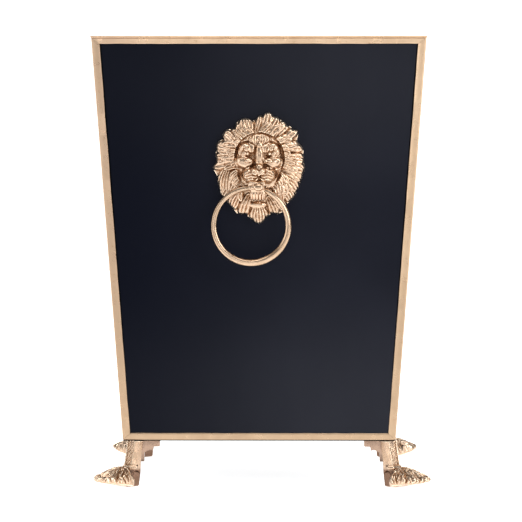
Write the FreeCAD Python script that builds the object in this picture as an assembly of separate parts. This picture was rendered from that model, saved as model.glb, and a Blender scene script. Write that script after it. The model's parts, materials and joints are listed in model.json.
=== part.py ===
import FreeCAD, Part
import math
import os

from FreeCAD import Placement, Rotation, Vector

# A square, tapered bin of enamelled sheet iron (a planter or wastepaper bin), edged with raised brass strips.
# It stands on four cast lion's-paw feet, and has a cast lion's mask with a hanging ring on its front and its rear.
# Millimetres. +Z up, the front faces -Y, and the origin is on the floor at the middle of the four feet.
# The shapes are drawn about the box's own middle, and moved to that origin as they are written.

# ---- driving sizes: the sheet box ----
RIM_WIDTH = 301.0        # outside of the sheet at the rim
BASE_WIDTH = 249.0       # outside of the sheet at its bottom edge
BODY_HEIGHT = 370.0      # bottom edge of the sheet to the top of the rim
FOOT_HEIGHT = 43.0       # floor to the bottom edge of the sheet
SHEET = 1.0              # sheet thickness, measured level
PAN_FLANGE = 5.0        # height of the bottom pan's turned-up sides

# ---- brass edging ----
STRIP_WIDTH = 7.4        # face width of the corner strips and the rim strips
BASE_STRIP_WIDTH = 6.4
STRIP_THICK = 1.6        # how far a strip stands off the sheet
STRIP_EASE = 1.0         # bevel along a strip's edges
CORNER_ROUND = 1.4       # rounding of the upright corner strips
RIM_CAP = 1.4            # thickness of the rim over the sheet's edge
RIM_INSIDE = 5.0         # how far the rim turns down inside
RIM_LEG = 1.0            # thickness of that inside leg
BEAD = 2.0               # height of the bead along the top of the rim
BEAD_PROUD = 0.7         # how far the bead stands out past the strips

# ---- lion mask, in its own frame: across, up the panel, out from the panel ----
MASK_BELOW_RIM = 119.0   # top of the rim to the mask's centre
MASK_EDGE = 3.2          # thickness of the casting at its outer edge
MASK_WALL = 3.0          # wall left over the hollow back
PIVOT_UP = -19.0         # the ring's axis, below the mask's centre
PIVOT_OUT = 11.0         # the ring's axis, out from the panel
JAW_HALF = 6.4           # half the width of the jaw that holds the ring
JAW_ABOVE = 9.5          # the jaw's ends, above and below the ring's axis
JAW_BELOW = 12.5
JAW_WALL = 2.7           # metal in front of the hole through the jaw
JAW_ROUND = 2.2          # rounding of the jaw's front edges
RING_CLEARANCE = 0.4     # round the ring where it passes the jaw
PIT_GAP = 2.0            # behind the ring, to the hollows beside the jaw
PIT_ABOVE = 4.8          # the hollows' ends, above and below the ring's axis
PIT_BELOW = 6.6

# ---- ring ----
RING_RADIUS = 33.9       # to the middle of the rod
RING_ROD_LOW = 3.4       # rod radius at the bottom of the ring
RING_ROD_TOP = 2.4       # rod radius in the mouth
RING_SLIDE = 7.0         # how far the ring has slipped along the mouth, to its left

# ---- fasteners ----
STUD_RADIUS = 2.0
STUD_CLEARANCE = 0.2     # round a stud where it passes the sheet
THREAD_CLEARANCE = 0.05  # round a thread in its nut or boss
STUDS = ((24.0, 10.5), (-35.0, 5.0))     # along the mask: height up it, and height of the boss
STUD_REACH_IN = 7.0      # stud end, inside the bin, from the panel's outside
STUD_REACH_OUT = 4.5     # stud end in the casting
BOSS_RADIUS = 4.4
WASHER_RADIUS = 4.2
WASHER_THICK = 0.8
NUT_ACROSS_FLATS = 7.0
NUT_HEIGHT = 3.2
SCREW_HEAD_RADIUS = 3.6
SCREW_HEAD_HEIGHT = 2.4
SCREW_SLOT = 0.9         # width and depth of the driver slot
SCREW_DEPTH = 4.4        # how far a foot screw goes into its foot

# ---- paw feet, in their own frame: outward from the corner of the edging, across, up ----
FEET_OFFSET = 2.5        # the set of four feet stands this far to the right of the box's middle
WING_INSET = 5.0         # outer face of a wing, in from the outside of the edging
WING_LENGTH = 31.5       # end of a wing, from the corner of the edging
WING_WIDTH = 12.0
WING_THICK = 6.0
WING_STEP = 2.8          # step down from the wing's end to the curve
GUSSET = 9.5             # radius of the curve from wing to leg
GUSSET_START = 15.0      # where the curve leaves the leg
SCREW_ALONG = 25.5       # foot screw, from the corner of the edging
SOLE_LIFT = 7.5          # degrees by which the sole rises from the heel to the toes
PAW_MIDDLE = (12.0, 0.0, 3.0)   # and the radii of the paw's rounded body
PAW_RADII = (20.0, 14.0, 13.5)
TOE_COUNT = 5
TOE_FAN = 128.0          # degrees from the first toe to the last
TOE_HUB = 8.0            # the toes fan out from this point
TOE_REACH = (18.4, 12.5)  # from there to the middle of a toe, straight ahead and to the side
TOE_RADII = (8.0, 4.4, 5.6)
# The leg's level sections, from the top down: height, middle (outward), half length and half width.
LEG_SECTIONS = ((42.0, -13.4, 6.2, 7.4), (32.0, -12.2, 6.2, 7.6), (22.0, -10.4, 6.8, 8.0),
                (12.0, -7.6, 7.6, 8.2), (0.0, -5.5, 7.6, 8.0))

# ---- worked-out places ----
RING_DROP = math.sqrt(RING_RADIUS ** 2 - RING_SLIDE ** 2)      # the ring's middle, below its axis
JAW_LEAN = math.asin((RING_SLIDE + JAW_HALF) / RING_RADIUS)     # slope of the rod where it leaves the jaw
MOUTH_RADIUS = (RING_DROP - RING_RADIUS * math.cos(JAW_LEAN)
                + RING_ROD_TOP / math.cos(JAW_LEAN) + RING_CLEARANCE)
JAW_FRONT = PIVOT_OUT + MOUTH_RADIUS + JAW_WALL
PIT_FLOOR = PIVOT_OUT - RING_ROD_TOP - PIT_GAP
BOX_BOTTOM = FOOT_HEIGHT
RIM_TOP = FOOT_HEIGHT + BODY_HEIGHT
SHEET_TOP = RIM_TOP - RIM_CAP
SLOPE = (RIM_WIDTH - BASE_WIDTH) / 2.0 / BODY_HEIGHT
LEAN = math.degrees(math.atan(SLOPE))
BAND_TOP = RIM_TOP - BEAD           # top of the flat part of the rim strip
BAND_LOW = RIM_TOP - STRIP_WIDTH
BASE_BAND_TOP = BOX_BOTTOM + BASE_STRIP_WIDTH
FAR = 1000.0                         # larger than the whole bin, for cutting tools

SIDES = ("front", "right", "rear", "left")                             # each a quarter turn on
CORNERS = ("front_left", "front_right", "rear_right", "rear_left")


def half_width(z):
    """Half the outside width of the sheet box at height z."""
    return BASE_WIDTH / 2.0 + SLOPE * (z - BOX_BOTTOM)


def turned(shape, quarters):
    """The shape, turned by quarter turns about the bin's upright axis."""
    copy = shape.copy()
    copy.rotate(Vector(0, 0, 0), Vector(0, 0, 1), 90.0 * quarters)
    return copy


def block(lower, upper):
    """A solid between two four-cornered outlines, each a list of points in the same order."""
    faces = [Part.Face(Part.makePolygon(ring + ring[:1])) for ring in (lower, upper)]
    for i in range(4):
        j = (i + 1) % 4
        side = [lower[i], lower[j], upper[j], upper[i]]
        faces.append(Part.Face(Part.makePolygon(side + side[:1])))
    return Part.makeSolid(Part.makeShell(faces))


def tapered_slab(z0, z1, x_inset, y_near, y_far):
    """A slab along the front: it follows the taper, between two depths in from the sheet's outside."""
    rings = []
    for z in (z0, z1):
        h = half_width(z)
        x = h - x_inset
        rings.append([Vector(-x, y_near - h, z), Vector(x, y_near - h, z),
                      Vector(x, y_far - h, z), Vector(-x, y_far - h, z)])
    return block(*rings)


def tapered_core(z0, z1, inset):
    """A solid frustum of the box, its sides that far in from the sheet's outside."""
    rings = []
    for z in (z0, z1):
        h = half_width(z) - inset
        rings.append([Vector(-h, -h, z), Vector(h, -h, z), Vector(h, h, z), Vector(-h, h, z)])
    return block(*rings)


def keep(shape, point, normal):
    """The part of the shape on the side of a plane that the normal points to."""
    side = Part.makeBox(2 * FAR, 2 * FAR, FAR, Vector(-FAR, -FAR, 0))
    side.Placement = Placement(point, Rotation(Vector(0, 0, 1), normal)).multiply(side.Placement)
    return shape.common(side)


def ellipsoid(centre, radii):
    """A ball stretched to three radii."""
    ball = Part.makeSphere(1.0)
    matrix = FreeCAD.Matrix()
    matrix.scale(*radii)
    ball = ball.transformGeometry(matrix)
    ball.translate(Vector(*centre))
    return ball


# ---------------------------------------------------------------- frames of the mask and of a foot

MASK_HEIGHT = RIM_TOP - MASK_BELOW_RIM
MASK_FRAME = Placement(Vector(0, -half_width(MASK_HEIGHT), MASK_HEIGHT),
                       Rotation(Vector(1, 0, 0), 90.0 + LEAN))
SHEET_BACK = -SHEET * math.cos(math.radians(LEAN))   # the panel's inside face, in the mask's frame
EDGE_CORNER = half_width(BOX_BOTTOM) + STRIP_THICK
FOOT_FRAME = Placement(Vector(-EDGE_CORNER, -EDGE_CORNER, 0), Rotation(Vector(0, 0, 1), 225.0))


def on_panel(shape):
    """A shape made in the mask's frame, put on the front panel."""
    copy = shape.copy()
    copy.Placement = MASK_FRAME.multiply(copy.Placement)
    return copy


# ---------------------------------------------------------------- sheet box

def panels():
    """Front and rear panels run the full width, and the side panels stand between them."""
    full = tapered_slab(BOX_BOTTOM, SHEET_TOP, 0.0, 0.0, SHEET)
    between = tapered_slab(BOX_BOTTOM, SHEET_TOP, SHEET, 0.0, SHEET)
    for up, _ in STUDS:
        hole = Part.makeCylinder(STUD_RADIUS + STUD_CLEARANCE, 20.0, Vector(0, up, -10.0))
        full = full.cut(on_panel(hole))
    return {
        "front_panel": full,
        "right_panel": turned(between, 1),
        "rear_panel": turned(full, 2),
        "left_panel": turned(between, 3),
    }


def screw_places():
    """Foot screws: two at each corner, one along each wing, as points on the pan's underside."""
    across = WING_INSET + WING_WIDTH / 2.0
    near = EDGE_CORNER - SCREW_ALONG
    deep = EDGE_CORNER - across
    places = []
    for quarter in range(4):
        for x, y in ((-near, -deep), (-deep, -near)):
            turn = Rotation(Vector(0, 0, 1), 90.0 * quarter)
            places.append(turn.multVec(Vector(x, y, BOX_BOTTOM)))
    return places


def beside(shape):
    """A shape of the feet, moved to where the feet stand under the box."""
    copy = shape.copy()
    copy.translate(Vector(FEET_OFFSET, 0, 0))
    return copy


def bottom_pan():
    """The bottom, a tray with turned-up flanges soldered inside the panels."""
    pan = tapered_core(BOX_BOTTOM, BOX_BOTTOM + PAN_FLANGE, SHEET)
    pan = pan.cut(tapered_core(BOX_BOTTOM + SHEET, BOX_BOTTOM + 2 * PAN_FLANGE, 2 * SHEET))
    for place in screw_places():
        hole = Part.makeCylinder(STUD_RADIUS + STUD_CLEARANCE, 4 * SHEET, place - Vector(0, 0, SHEET))
        pan = pan.cut(beside(hole))
    return {"bottom_pan": pan}


# ---------------------------------------------------------------- brass edging

def front_point(out, z):
    """A point of a strip's section on the front, that far out from the sheet's outside."""
    return Vector(0, -(half_width(z) + out), z)


def front_bar(section):
    """A section drawn at x = 0, drawn out along the front and mitred to its neighbours at the corners."""
    section.translate(Vector(-FAR / 2, 0, 0))
    bar = section.extrude(Vector(FAR, 0, 0))
    corner = [Vector(0, 0, -FAR), Vector(-FAR, -FAR, -FAR), Vector(FAR, -FAR, -FAR), Vector(0, 0, -FAR)]
    return bar.common(Part.Face(Part.makePolygon(corner)).extrude(Vector(0, 0, 3 * FAR)))


def base_strips():
    """Flat strips round the bottom edge, mitred under the corner strips."""
    e = STRIP_EASE
    t = STRIP_THICK
    outline = [front_point(0, BOX_BOTTOM), front_point(t - e, BOX_BOTTOM), front_point(t, BOX_BOTTOM + e),
               front_point(t, BASE_BAND_TOP - e), front_point(t - e, BASE_BAND_TOP), front_point(0, BASE_BAND_TOP)]
    bar = front_bar(Part.Face(Part.makePolygon(outline + outline[:1])))
    for side in (-1, 1):
        corner = Vector(side * EDGE_CORNER, 0, BOX_BOTTOM)
        bar = keep(bar, corner, Vector(-side * BASE_STRIP_WIDTH, 0, -STRIP_WIDTH))
    return {"base_strip_" + name: turned(bar, i) for i, name in enumerate(SIDES)}


def rim_strips():
    """A channel over the top edge: a flat outside band, a bead along its top and a short leg inside."""
    e = STRIP_EASE
    t = STRIP_THICK
    inner = -(SHEET + RIM_LEG)
    low = front_point(t + BEAD_PROUD, BAND_TOP + BEAD / 2.0)
    bead = Part.Arc(front_point(t, BAND_TOP), low, front_point(t, RIM_TOP)).toShape()
    rest = [front_point(t, RIM_TOP), front_point(inner, RIM_TOP), front_point(inner, SHEET_TOP - RIM_INSIDE),
            front_point(-SHEET, SHEET_TOP - RIM_INSIDE), front_point(-SHEET, SHEET_TOP), front_point(0, SHEET_TOP),
            front_point(0, BAND_LOW), front_point(t - e, BAND_LOW), front_point(t, BAND_LOW + e),
            front_point(t, BAND_TOP)]
    edges = [bead] + [Part.LineSegment(a, b).toShape() for a, b in zip(rest, rest[1:])]
    bar = front_bar(Part.Face(Part.Wire(Part.__sortEdges__(edges))))
    for side in (-1, 1):
        bar = bar.cut(corner_upright(side))
    return {"rim_strip_" + name: turned(bar, i) for i, name in enumerate(SIDES)}


def corner_section(outer, leg, round_to):
    """The level section of a corner strip at the front left, its outer corner at the origin."""
    t = STRIP_THICK
    e = STRIP_EASE
    r = round_to
    middle = r * (1.0 - math.sqrt(0.5))
    arc = Part.Arc(Vector(0, r, 0), Vector(middle, middle, 0), Vector(r, 0, 0)).toShape()
    rest = [Vector(r, 0, 0), Vector(leg - e, 0, 0), Vector(leg, e, 0), Vector(leg, t, 0), Vector(t, t, 0),
            Vector(t, leg, 0), Vector(e, leg, 0), Vector(0, leg - e, 0), Vector(0, r, 0)]
    edges = [arc] + [Part.LineSegment(a, b).toShape() for a, b in zip(rest, rest[1:])]
    face = Part.Face(Part.Wire(Part.__sortEdges__(edges)))
    face.translate(outer)
    return face


def corner_upright(side=-1):
    """The front left corner strip (or the front right, side=1), mitred at both ends."""
    height = BAND_TOP - BOX_BOTTOM
    foot = Vector(-EDGE_CORNER, -EDGE_CORNER, BOX_BOTTOM)
    lean_out = SLOPE * height
    strip = corner_section(foot, STRIP_WIDTH, CORNER_ROUND).extrude(Vector(-lean_out, -lean_out, height))
    head = foot + Vector(-lean_out, -lean_out, height)
    drop = BAND_TOP - BAND_LOW
    strip = keep(strip, foot, Vector(-BASE_STRIP_WIDTH, 0, STRIP_WIDTH))
    strip = keep(strip, foot, Vector(0, -BASE_STRIP_WIDTH, STRIP_WIDTH))
    inner = STRIP_WIDTH + SLOPE * drop
    strip = keep(strip, head, Vector(-drop, 0, -inner))
    strip = keep(strip, head, Vector(0, -drop, -inner))
    return strip if side < 0 else turned(strip, 1)


def corner_strips():
    """Rounded angle strips up the four corners."""
    strip = corner_upright()
    return {"corner_strip_" + name: turned(strip, i) for i, name in enumerate(CORNERS)}


# ---------------------------------------------------------------- lion mask and ring

# Tufts of the mane round the edge of the casting: the notches between them, clockwise from the top left.
MANE_NOTCHES = ((-5.6, 45.0), (3.5, 48.2), (12.4, 47.2), (24.0, 42.0), (32.5, 34.5), (36.5, 24.5), (40.5, 10.0),
                (39.3, -7.5), (33.6, -23.0), (25.5, -32.0), (13.3, -39.5), (-11.5, -39.5), (-21.5, -36.5),
                (-33.0, -25.0), (-38.3, -5.0), (-38.8, 6.0), (-37.0, 16.0), (-31.5, 27.0), (-24.5, 35.5),
                (-17.5, 42.5))
TUFT_BULGE = 2.2         # how far a tuft swells past the line between its notches
BEARD_TIP = -51.5


def tufted_outline():
    """The mask's outer edge, an arc for each tuft, with the beard as a deeper one at the bottom."""
    edges = []
    count = len(MANE_NOTCHES)
    for i in range(count):
        a = Vector(*MANE_NOTCHES[i], 0)
        b = Vector(*MANE_NOTCHES[(i + 1) % count], 0)
        middle = (a + b) * 0.5
        outward = Vector(a.y - b.y, b.x - a.x, 0).normalize()
        swell = TUFT_BULGE
        if a.y < -39.0 and b.y < -39.0:
            swell = abs(BEARD_TIP - middle.y)
        edges.append(Part.Arc(a, middle + outward * swell, b).toShape())
    return Part.Face(Part.Wire(edges))


def lion_mask():
    """A hollow-backed casting: mane, face, muzzle and beard, and a jaw with a hole across it for the ring."""
    upper = Part.makeBox(2 * FAR, 2 * FAR, FAR, Vector(-FAR, -FAR, 0))
    body = tufted_outline().extrude(Vector(0, 0, MASK_EDGE))
    swells = (
        ellipsoid((0, 2, 0), (38.0, 43.0, 9.5)),        # mane
        ellipsoid((0, 6, 4), (23.0, 28.0, 11.5)),       # face
        ellipsoid((0, -3, 11), (13.5, 11.0, 11.5)),     # muzzle
        ellipsoid((0, 13, 12), (5.0, 15.0, 7.0)),       # bridge of the nose
        ellipsoid((0, -40, 0), (11.0, 10.5, 6.5)),      # beard
    )
    for swell in swells:
        body = body.fuse(swell.common(upper))
    hollow = ellipsoid((0, 2, -MASK_WALL), (34.0, 38.0, 9.5)).fuse(
        ellipsoid((0, 6, 4 - MASK_WALL), (20.0, 25.0, 11.0)))
    body = body.cut(hollow.common(upper))
    for side in (-1, 1):
        x0 = JAW_HALF if side > 0 else -JAW_HALF - FAR
        body = body.cut(Part.makeBox(FAR, PIT_ABOVE + PIT_BELOW, FAR, Vector(x0, PIVOT_UP - PIT_BELOW, PIT_FLOOR)))
    jaw = Part.makeBox(2 * JAW_HALF, JAW_ABOVE + JAW_BELOW, JAW_FRONT,
                       Vector(-JAW_HALF, PIVOT_UP - JAW_BELOW, 0))
    front_edges = [e for e in jaw.Edges if abs(e.CenterOfMass.z - JAW_FRONT) < 0.1]
    body = body.fuse(jaw.makeFillet(JAW_ROUND, front_edges))
    for up, height in STUDS:
        body = body.fuse(Part.makeCylinder(BOSS_RADIUS, height, Vector(0, up, 0)))
    mouth = Part.makeCylinder(MOUTH_RADIUS, 2 * FAR, Vector(-FAR, PIVOT_UP, PIVOT_OUT), Vector(1, 0, 0))
    body = body.cut(mouth)
    for up, _ in STUDS:
        body = body.cut(Part.makeCylinder(STUD_RADIUS + THREAD_CLEARANCE, STUD_REACH_OUT + 0.1, Vector(0, up, 0)))
    return on_panel(body)


def pivot_point():
    """Where the ring's axis crosses the middle of the mouth."""
    return MASK_FRAME.multVec(Vector(0, PIVOT_UP, PIVOT_OUT))


def hanging_ring():
    """A closed ring of round rod, thinner in the mouth, hanging plumb and slipped a little to one side."""
    centre = pivot_point() + Vector(-RING_SLIDE, 0, -RING_DROP)
    sections = []
    count = 12
    for i in range(count):
        angle = 2.0 * math.pi * i / count
        share = (1.0 - math.cos(angle)) / 2.0
        rod = RING_ROD_TOP + (RING_ROD_LOW - RING_ROD_TOP) * share
        spoke = Vector(math.sin(angle), 0, math.cos(angle))
        along = Vector(math.cos(angle), 0, -math.sin(angle))
        sections.append(Part.Wire(Part.makeCircle(rod, centre + spoke * RING_RADIUS, along)))
    return Part.makeLoft(sections, True, False, True)


def mask_fixings():
    """Two studs in the casting, with a washer and a hex nut on each inside the bin."""
    studs = []
    washers = []
    nuts = []
    for up, _ in STUDS:
        foot = SHEET_BACK - WASHER_THICK
        studs.append(Part.makeCylinder(STUD_RADIUS, STUD_REACH_IN + STUD_REACH_OUT, Vector(0, up, -STUD_REACH_IN)))
        ring = Part.makeCylinder(WASHER_RADIUS, WASHER_THICK, Vector(0, up, foot))
        washers.append(ring.cut(Part.makeCylinder(STUD_RADIUS + STUD_CLEARANCE, 10.0, Vector(0, up, -5.0))))
        corner = NUT_ACROSS_FLATS / math.sqrt(3.0)
        points = [Vector(corner * math.cos(math.radians(60 * k)), up + corner * math.sin(math.radians(60 * k)),
                         foot - NUT_HEIGHT) for k in range(7)]
        nut = Part.Face(Part.makePolygon(points)).extrude(Vector(0, 0, NUT_HEIGHT))
        nuts.append(nut.cut(Part.makeCylinder(STUD_RADIUS + THREAD_CLEARANCE, 20.0, Vector(0, up, -10.0))))
    return {name: on_panel(Part.makeCompound(parts))
            for name, parts in (("mask_studs", studs), ("mask_washers", washers), ("mask_nuts", nuts))}


def handles():
    """The front handle and its copy on the rear: mask, ring and fixings."""
    parts = {"lion_mask": lion_mask(), "ring": hanging_ring(), **mask_fixings()}
    out = {}
    for name, shape in parts.items():
        out[name + "_front"] = shape
        out[name + "_rear"] = turned(shape, 2)
    return out


# ---------------------------------------------------------------- feet

def leg():
    """The upright part of a foot, through its level oval sections, down to the heel."""
    sections = []
    for z, middle, along, across in LEG_SECTIONS:
        height = z * FOOT_HEIGHT / LEG_SECTIONS[0][0]
        oval = Part.Ellipse(Vector(middle, across, height), Vector(middle + along, 0, height),
                            Vector(middle, 0, height))
        sections.append(Part.Wire(oval.toShape()))
    return Part.makeLoft(sections, True, False)


def paw():
    """A rounded paw with its toes in a fan; the sole rises from the heel to the toes."""
    shape = ellipsoid(PAW_MIDDLE, PAW_RADII)
    rise = math.tan(math.radians(SOLE_LIFT))
    for i in range(TOE_COUNT):
        fan = TOE_FAN * (i / (TOE_COUNT - 1) - 0.5)
        out = TOE_HUB + TOE_REACH[0] * math.cos(math.radians(fan))
        across = TOE_REACH[1] * math.sin(math.radians(fan))
        toe = ellipsoid((0, 0, 0), TOE_RADII)
        toe.rotate(Vector(0, 0, 0), Vector(0, 0, 1), fan)
        toe.translate(Vector(out, across, out * rise + TOE_RADII[2] * 0.6))
        shape = shape.fuse(toe)
    return keep(keep(shape, Vector(0, 0, 0), Vector(-rise, 0, 1)), Vector(0, 0, 0), Vector(0, 0, 1))


def wing():
    """A bracket along the box's front edge, stepping down and curving into the leg."""
    low = FOOT_HEIGHT - WING_THICK
    curve_top = low - WING_STEP
    curve_end = GUSSET_START + GUSSET
    shift = GUSSET * (1.0 - math.sqrt(0.5))
    arc = Part.Arc(Vector(curve_end, 0, curve_top), Vector(GUSSET_START + shift, 0, curve_top - shift),
                   Vector(GUSSET_START, 0, curve_top - GUSSET)).toShape()
    start = WING_INSET
    rest = [Vector(GUSSET_START, 0, curve_top - GUSSET), Vector(start + GUSSET / 2, 0, curve_top - GUSSET),
            Vector(start, 0, low), Vector(start, 0, FOOT_HEIGHT), Vector(WING_LENGTH, 0, FOOT_HEIGHT),
            Vector(WING_LENGTH, 0, low), Vector(curve_end + 1.5, 0, low), Vector(curve_end, 0, curve_top)]
    edges = [arc] + [Part.LineSegment(a, b).toShape() for a, b in zip(rest, rest[1:])]
    bracket = Part.Face(Part.Wire(Part.__sortEdges__(edges))).extrude(Vector(0, WING_WIDTH, 0))
    bracket.translate(Vector(-EDGE_CORNER, -EDGE_CORNER + WING_INSET, 0))
    return bracket


def paw_foot():
    """One casting, under the front left corner: two wings, a leg, a heel and a paw."""
    foot = leg().fuse(paw())
    foot.Placement = FOOT_FRAME.multiply(foot.Placement)
    bracket = wing()
    foot = foot.fuse(bracket).fuse(bracket.mirror(Vector(0, 0, 0), Vector(1, -1, 0)))
    for place in screw_places()[:2]:
        hole = Part.makeCylinder(STUD_RADIUS + THREAD_CLEARANCE, SCREW_DEPTH + 0.2, place, Vector(0, 0, -1))
        foot = foot.cut(hole)
    return foot


def feet():
    """The four feet and their screws and washers, which go in from inside the bin."""
    foot = paw_foot()
    out = {"paw_foot_" + name: beside(turned(foot, i)) for i, name in enumerate(CORNERS)}
    screws = []
    washers = []
    for place in screw_places():
        seat = place + Vector(0, 0, SHEET)
        top = seat + Vector(0, 0, WASHER_THICK)
        ring = Part.makeCylinder(WASHER_RADIUS, WASHER_THICK, seat)
        washers.append(ring.cut(Part.makeCylinder(STUD_RADIUS + STUD_CLEARANCE, 5.0, seat - Vector(0, 0, 1))))
        head = Part.makeCylinder(SCREW_HEAD_RADIUS, SCREW_HEAD_HEIGHT, top)
        head = head.makeFillet(1.0, [e for e in head.Edges if abs(e.CenterOfMass.z - top.z - SCREW_HEAD_HEIGHT) < 0.01])
        slot = Part.makeBox(4 * SCREW_HEAD_RADIUS, SCREW_SLOT, SCREW_SLOT + 1.0,
                            top + Vector(-2 * SCREW_HEAD_RADIUS, -SCREW_SLOT / 2, SCREW_HEAD_HEIGHT - SCREW_SLOT))
        shank = Part.makeCylinder(STUD_RADIUS, SHEET + WASHER_THICK + SCREW_DEPTH, top, Vector(0, 0, -1))
        screws.append(head.cut(slot).fuse(shank).removeSplitter())
    out["foot_screws"] = beside(Part.makeCompound(screws))
    out["foot_washers"] = beside(Part.makeCompound(washers))
    return out


def main():
    os.makedirs("parts", exist_ok=True)
    nodes = {}
    for group in (panels, bottom_pan, base_strips, corner_strips, rim_strips, handles, feet):
        nodes.update(group())
    for name, shape in nodes.items():
        solids = shape.Solids
        assert solids, name
        for solid in solids:
            assert solid.isValid() and solid.Volume > 0, name
        shape.translate(Vector(-FEET_OFFSET, 0, 0))
        shape.exportStep(f"parts/{name}.step")
        print(f"{name}: {len(solids)} solid(s), {shape.Volume / 1000.0:.2f} cm3")
    pivot = pivot_point() - Vector(FEET_OFFSET, 0, 0)
    print(f"ring axis at {pivot.x:.3f}, {pivot.y:.3f}, {pivot.z:.3f} mm; panels lean {LEAN:.3f} degrees")


main()
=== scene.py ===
import json
import math

import bmesh
import bpy
import numpy as np
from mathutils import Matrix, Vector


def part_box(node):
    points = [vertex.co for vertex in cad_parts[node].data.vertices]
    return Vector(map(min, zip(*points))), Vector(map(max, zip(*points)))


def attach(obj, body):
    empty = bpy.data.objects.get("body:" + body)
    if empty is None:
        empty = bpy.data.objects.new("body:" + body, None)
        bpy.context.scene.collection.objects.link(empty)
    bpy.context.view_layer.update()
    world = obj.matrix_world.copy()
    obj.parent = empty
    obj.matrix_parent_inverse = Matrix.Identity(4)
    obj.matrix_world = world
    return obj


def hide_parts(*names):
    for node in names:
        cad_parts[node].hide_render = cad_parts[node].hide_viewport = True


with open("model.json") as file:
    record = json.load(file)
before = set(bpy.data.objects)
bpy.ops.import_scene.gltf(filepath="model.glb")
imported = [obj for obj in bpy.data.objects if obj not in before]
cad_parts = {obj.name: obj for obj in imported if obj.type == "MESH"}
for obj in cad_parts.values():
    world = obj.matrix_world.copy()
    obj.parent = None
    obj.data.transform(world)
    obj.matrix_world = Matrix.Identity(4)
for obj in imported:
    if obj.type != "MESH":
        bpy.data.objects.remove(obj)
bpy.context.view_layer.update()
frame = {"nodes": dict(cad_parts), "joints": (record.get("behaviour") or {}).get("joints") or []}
nodes = frame["nodes"]


# ==== The sheet box =================================================================================
# Four panels of 1 mm sheet iron, soldered edge to edge round a bottom pan with turned-up sides.
# The box is wider at the rim than at the base, and is enamelled a satin blue-black inside and out.
# The enamel was flowed on by brush and baked, so it is nearly smooth with a faint ripple.

def start_material(name, colour, metal, rough, **sockets):
    """A material with one principled shader; the named sockets are set on the shader itself."""
    material = bpy.data.materials.new(name)
    material.use_nodes = True
    shader = material.node_tree.nodes["Principled BSDF"]
    shader.inputs["Base Color"].default_value = (*colour, 1.0)
    shader.inputs["Metallic"].default_value = metal
    shader.inputs["Roughness"].default_value = rough
    for socket, value in sockets.items():
        shader.inputs[socket.replace("_", " ")].default_value = value
    return material, material.node_tree, shader


def add_node(tree, kind, settings=None, **links):
    """A node of that kind: settings are its own options, links are values or sockets for its inputs. An
    input without a name of its own is given by its place, as i0, i1 and so on."""
    node = tree.nodes.new("ShaderNode" + kind)
    for key, value in (settings or {}).items():
        setattr(node, key, value)
    for key, value in links.items():
        numbered = key[0] == "i" and key[1:].isdigit()
        socket = node.inputs[int(key[1:]) if numbered else key.replace("_", " ")]
        if isinstance(value, bpy.types.NodeSocket):
            tree.links.new(value, socket)
        else:
            socket.default_value = value
    return node


def object_place(tree, stretch=(1.0, 1.0, 1.0)):
    """The point on the piece, from its Object coordinates, stretched along its axes."""
    place = add_node(tree, "TexCoord")
    return add_node(tree, "Mapping", Vector=place.outputs["Object"], Scale=stretch).outputs["Vector"]


def noise(tree, place, scale, detail=3.0, rough=0.55):
    """Soft noise from 0 to 1; the scale is in waves to the metre."""
    node = add_node(tree, "TexNoise", Vector=place, Scale=scale, Detail=detail, Roughness=rough)
    return node.outputs["Fac"]


def ramp(tree, value, low, high, to_low=0.0, to_high=1.0):
    """The value, with low..high spread to to_low..to_high along a smooth step."""
    node = add_node(tree, "MapRange", {"interpolation_type": "SMOOTHSTEP"}, Value=value)
    sockets = ("From Min", "From Max", "To Min", "To Max")
    for socket, number in zip(sockets, (low, high, to_low, to_high)):
        node.inputs[socket].default_value = number
    return node.outputs["Result"]


def reckon(tree, how, first, second=0.0):
    """One sum on two numbers, such as ADD or MULTIPLY."""
    return add_node(tree, "Math", {"operation": how}, i0=first, i1=second).outputs[0]


def blend_colours(tree, share, first, second, how="MIX"):
    """A mix of two colours by that share of the second, or the first multiplied by the second to that
    share."""
    node = add_node(tree, "Mix", {"data_type": "RGBA", "blend_type": how}, i0=share)
    for index, colour in ((6, first), (7, second)):
        if isinstance(colour, bpy.types.NodeSocket):
            tree.links.new(colour, node.inputs[index])
        else:
            node.inputs[index].default_value = (*colour, 1.0)
    return node.outputs[2]


def raise_bumps(tree, shader, *layers):
    """Bump layers on the shader, each a (height, depth in metres) pair laid on the one before."""
    normal = None
    for height, depth in layers:
        bump = add_node(tree, "Bump", Height=height, Distance=depth, Strength=1.0)
        if normal:
            tree.links.new(normal, bump.inputs["Normal"])
        normal = bump.outputs["Normal"]
    tree.links.new(normal, shader.inputs["Normal"])


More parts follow.
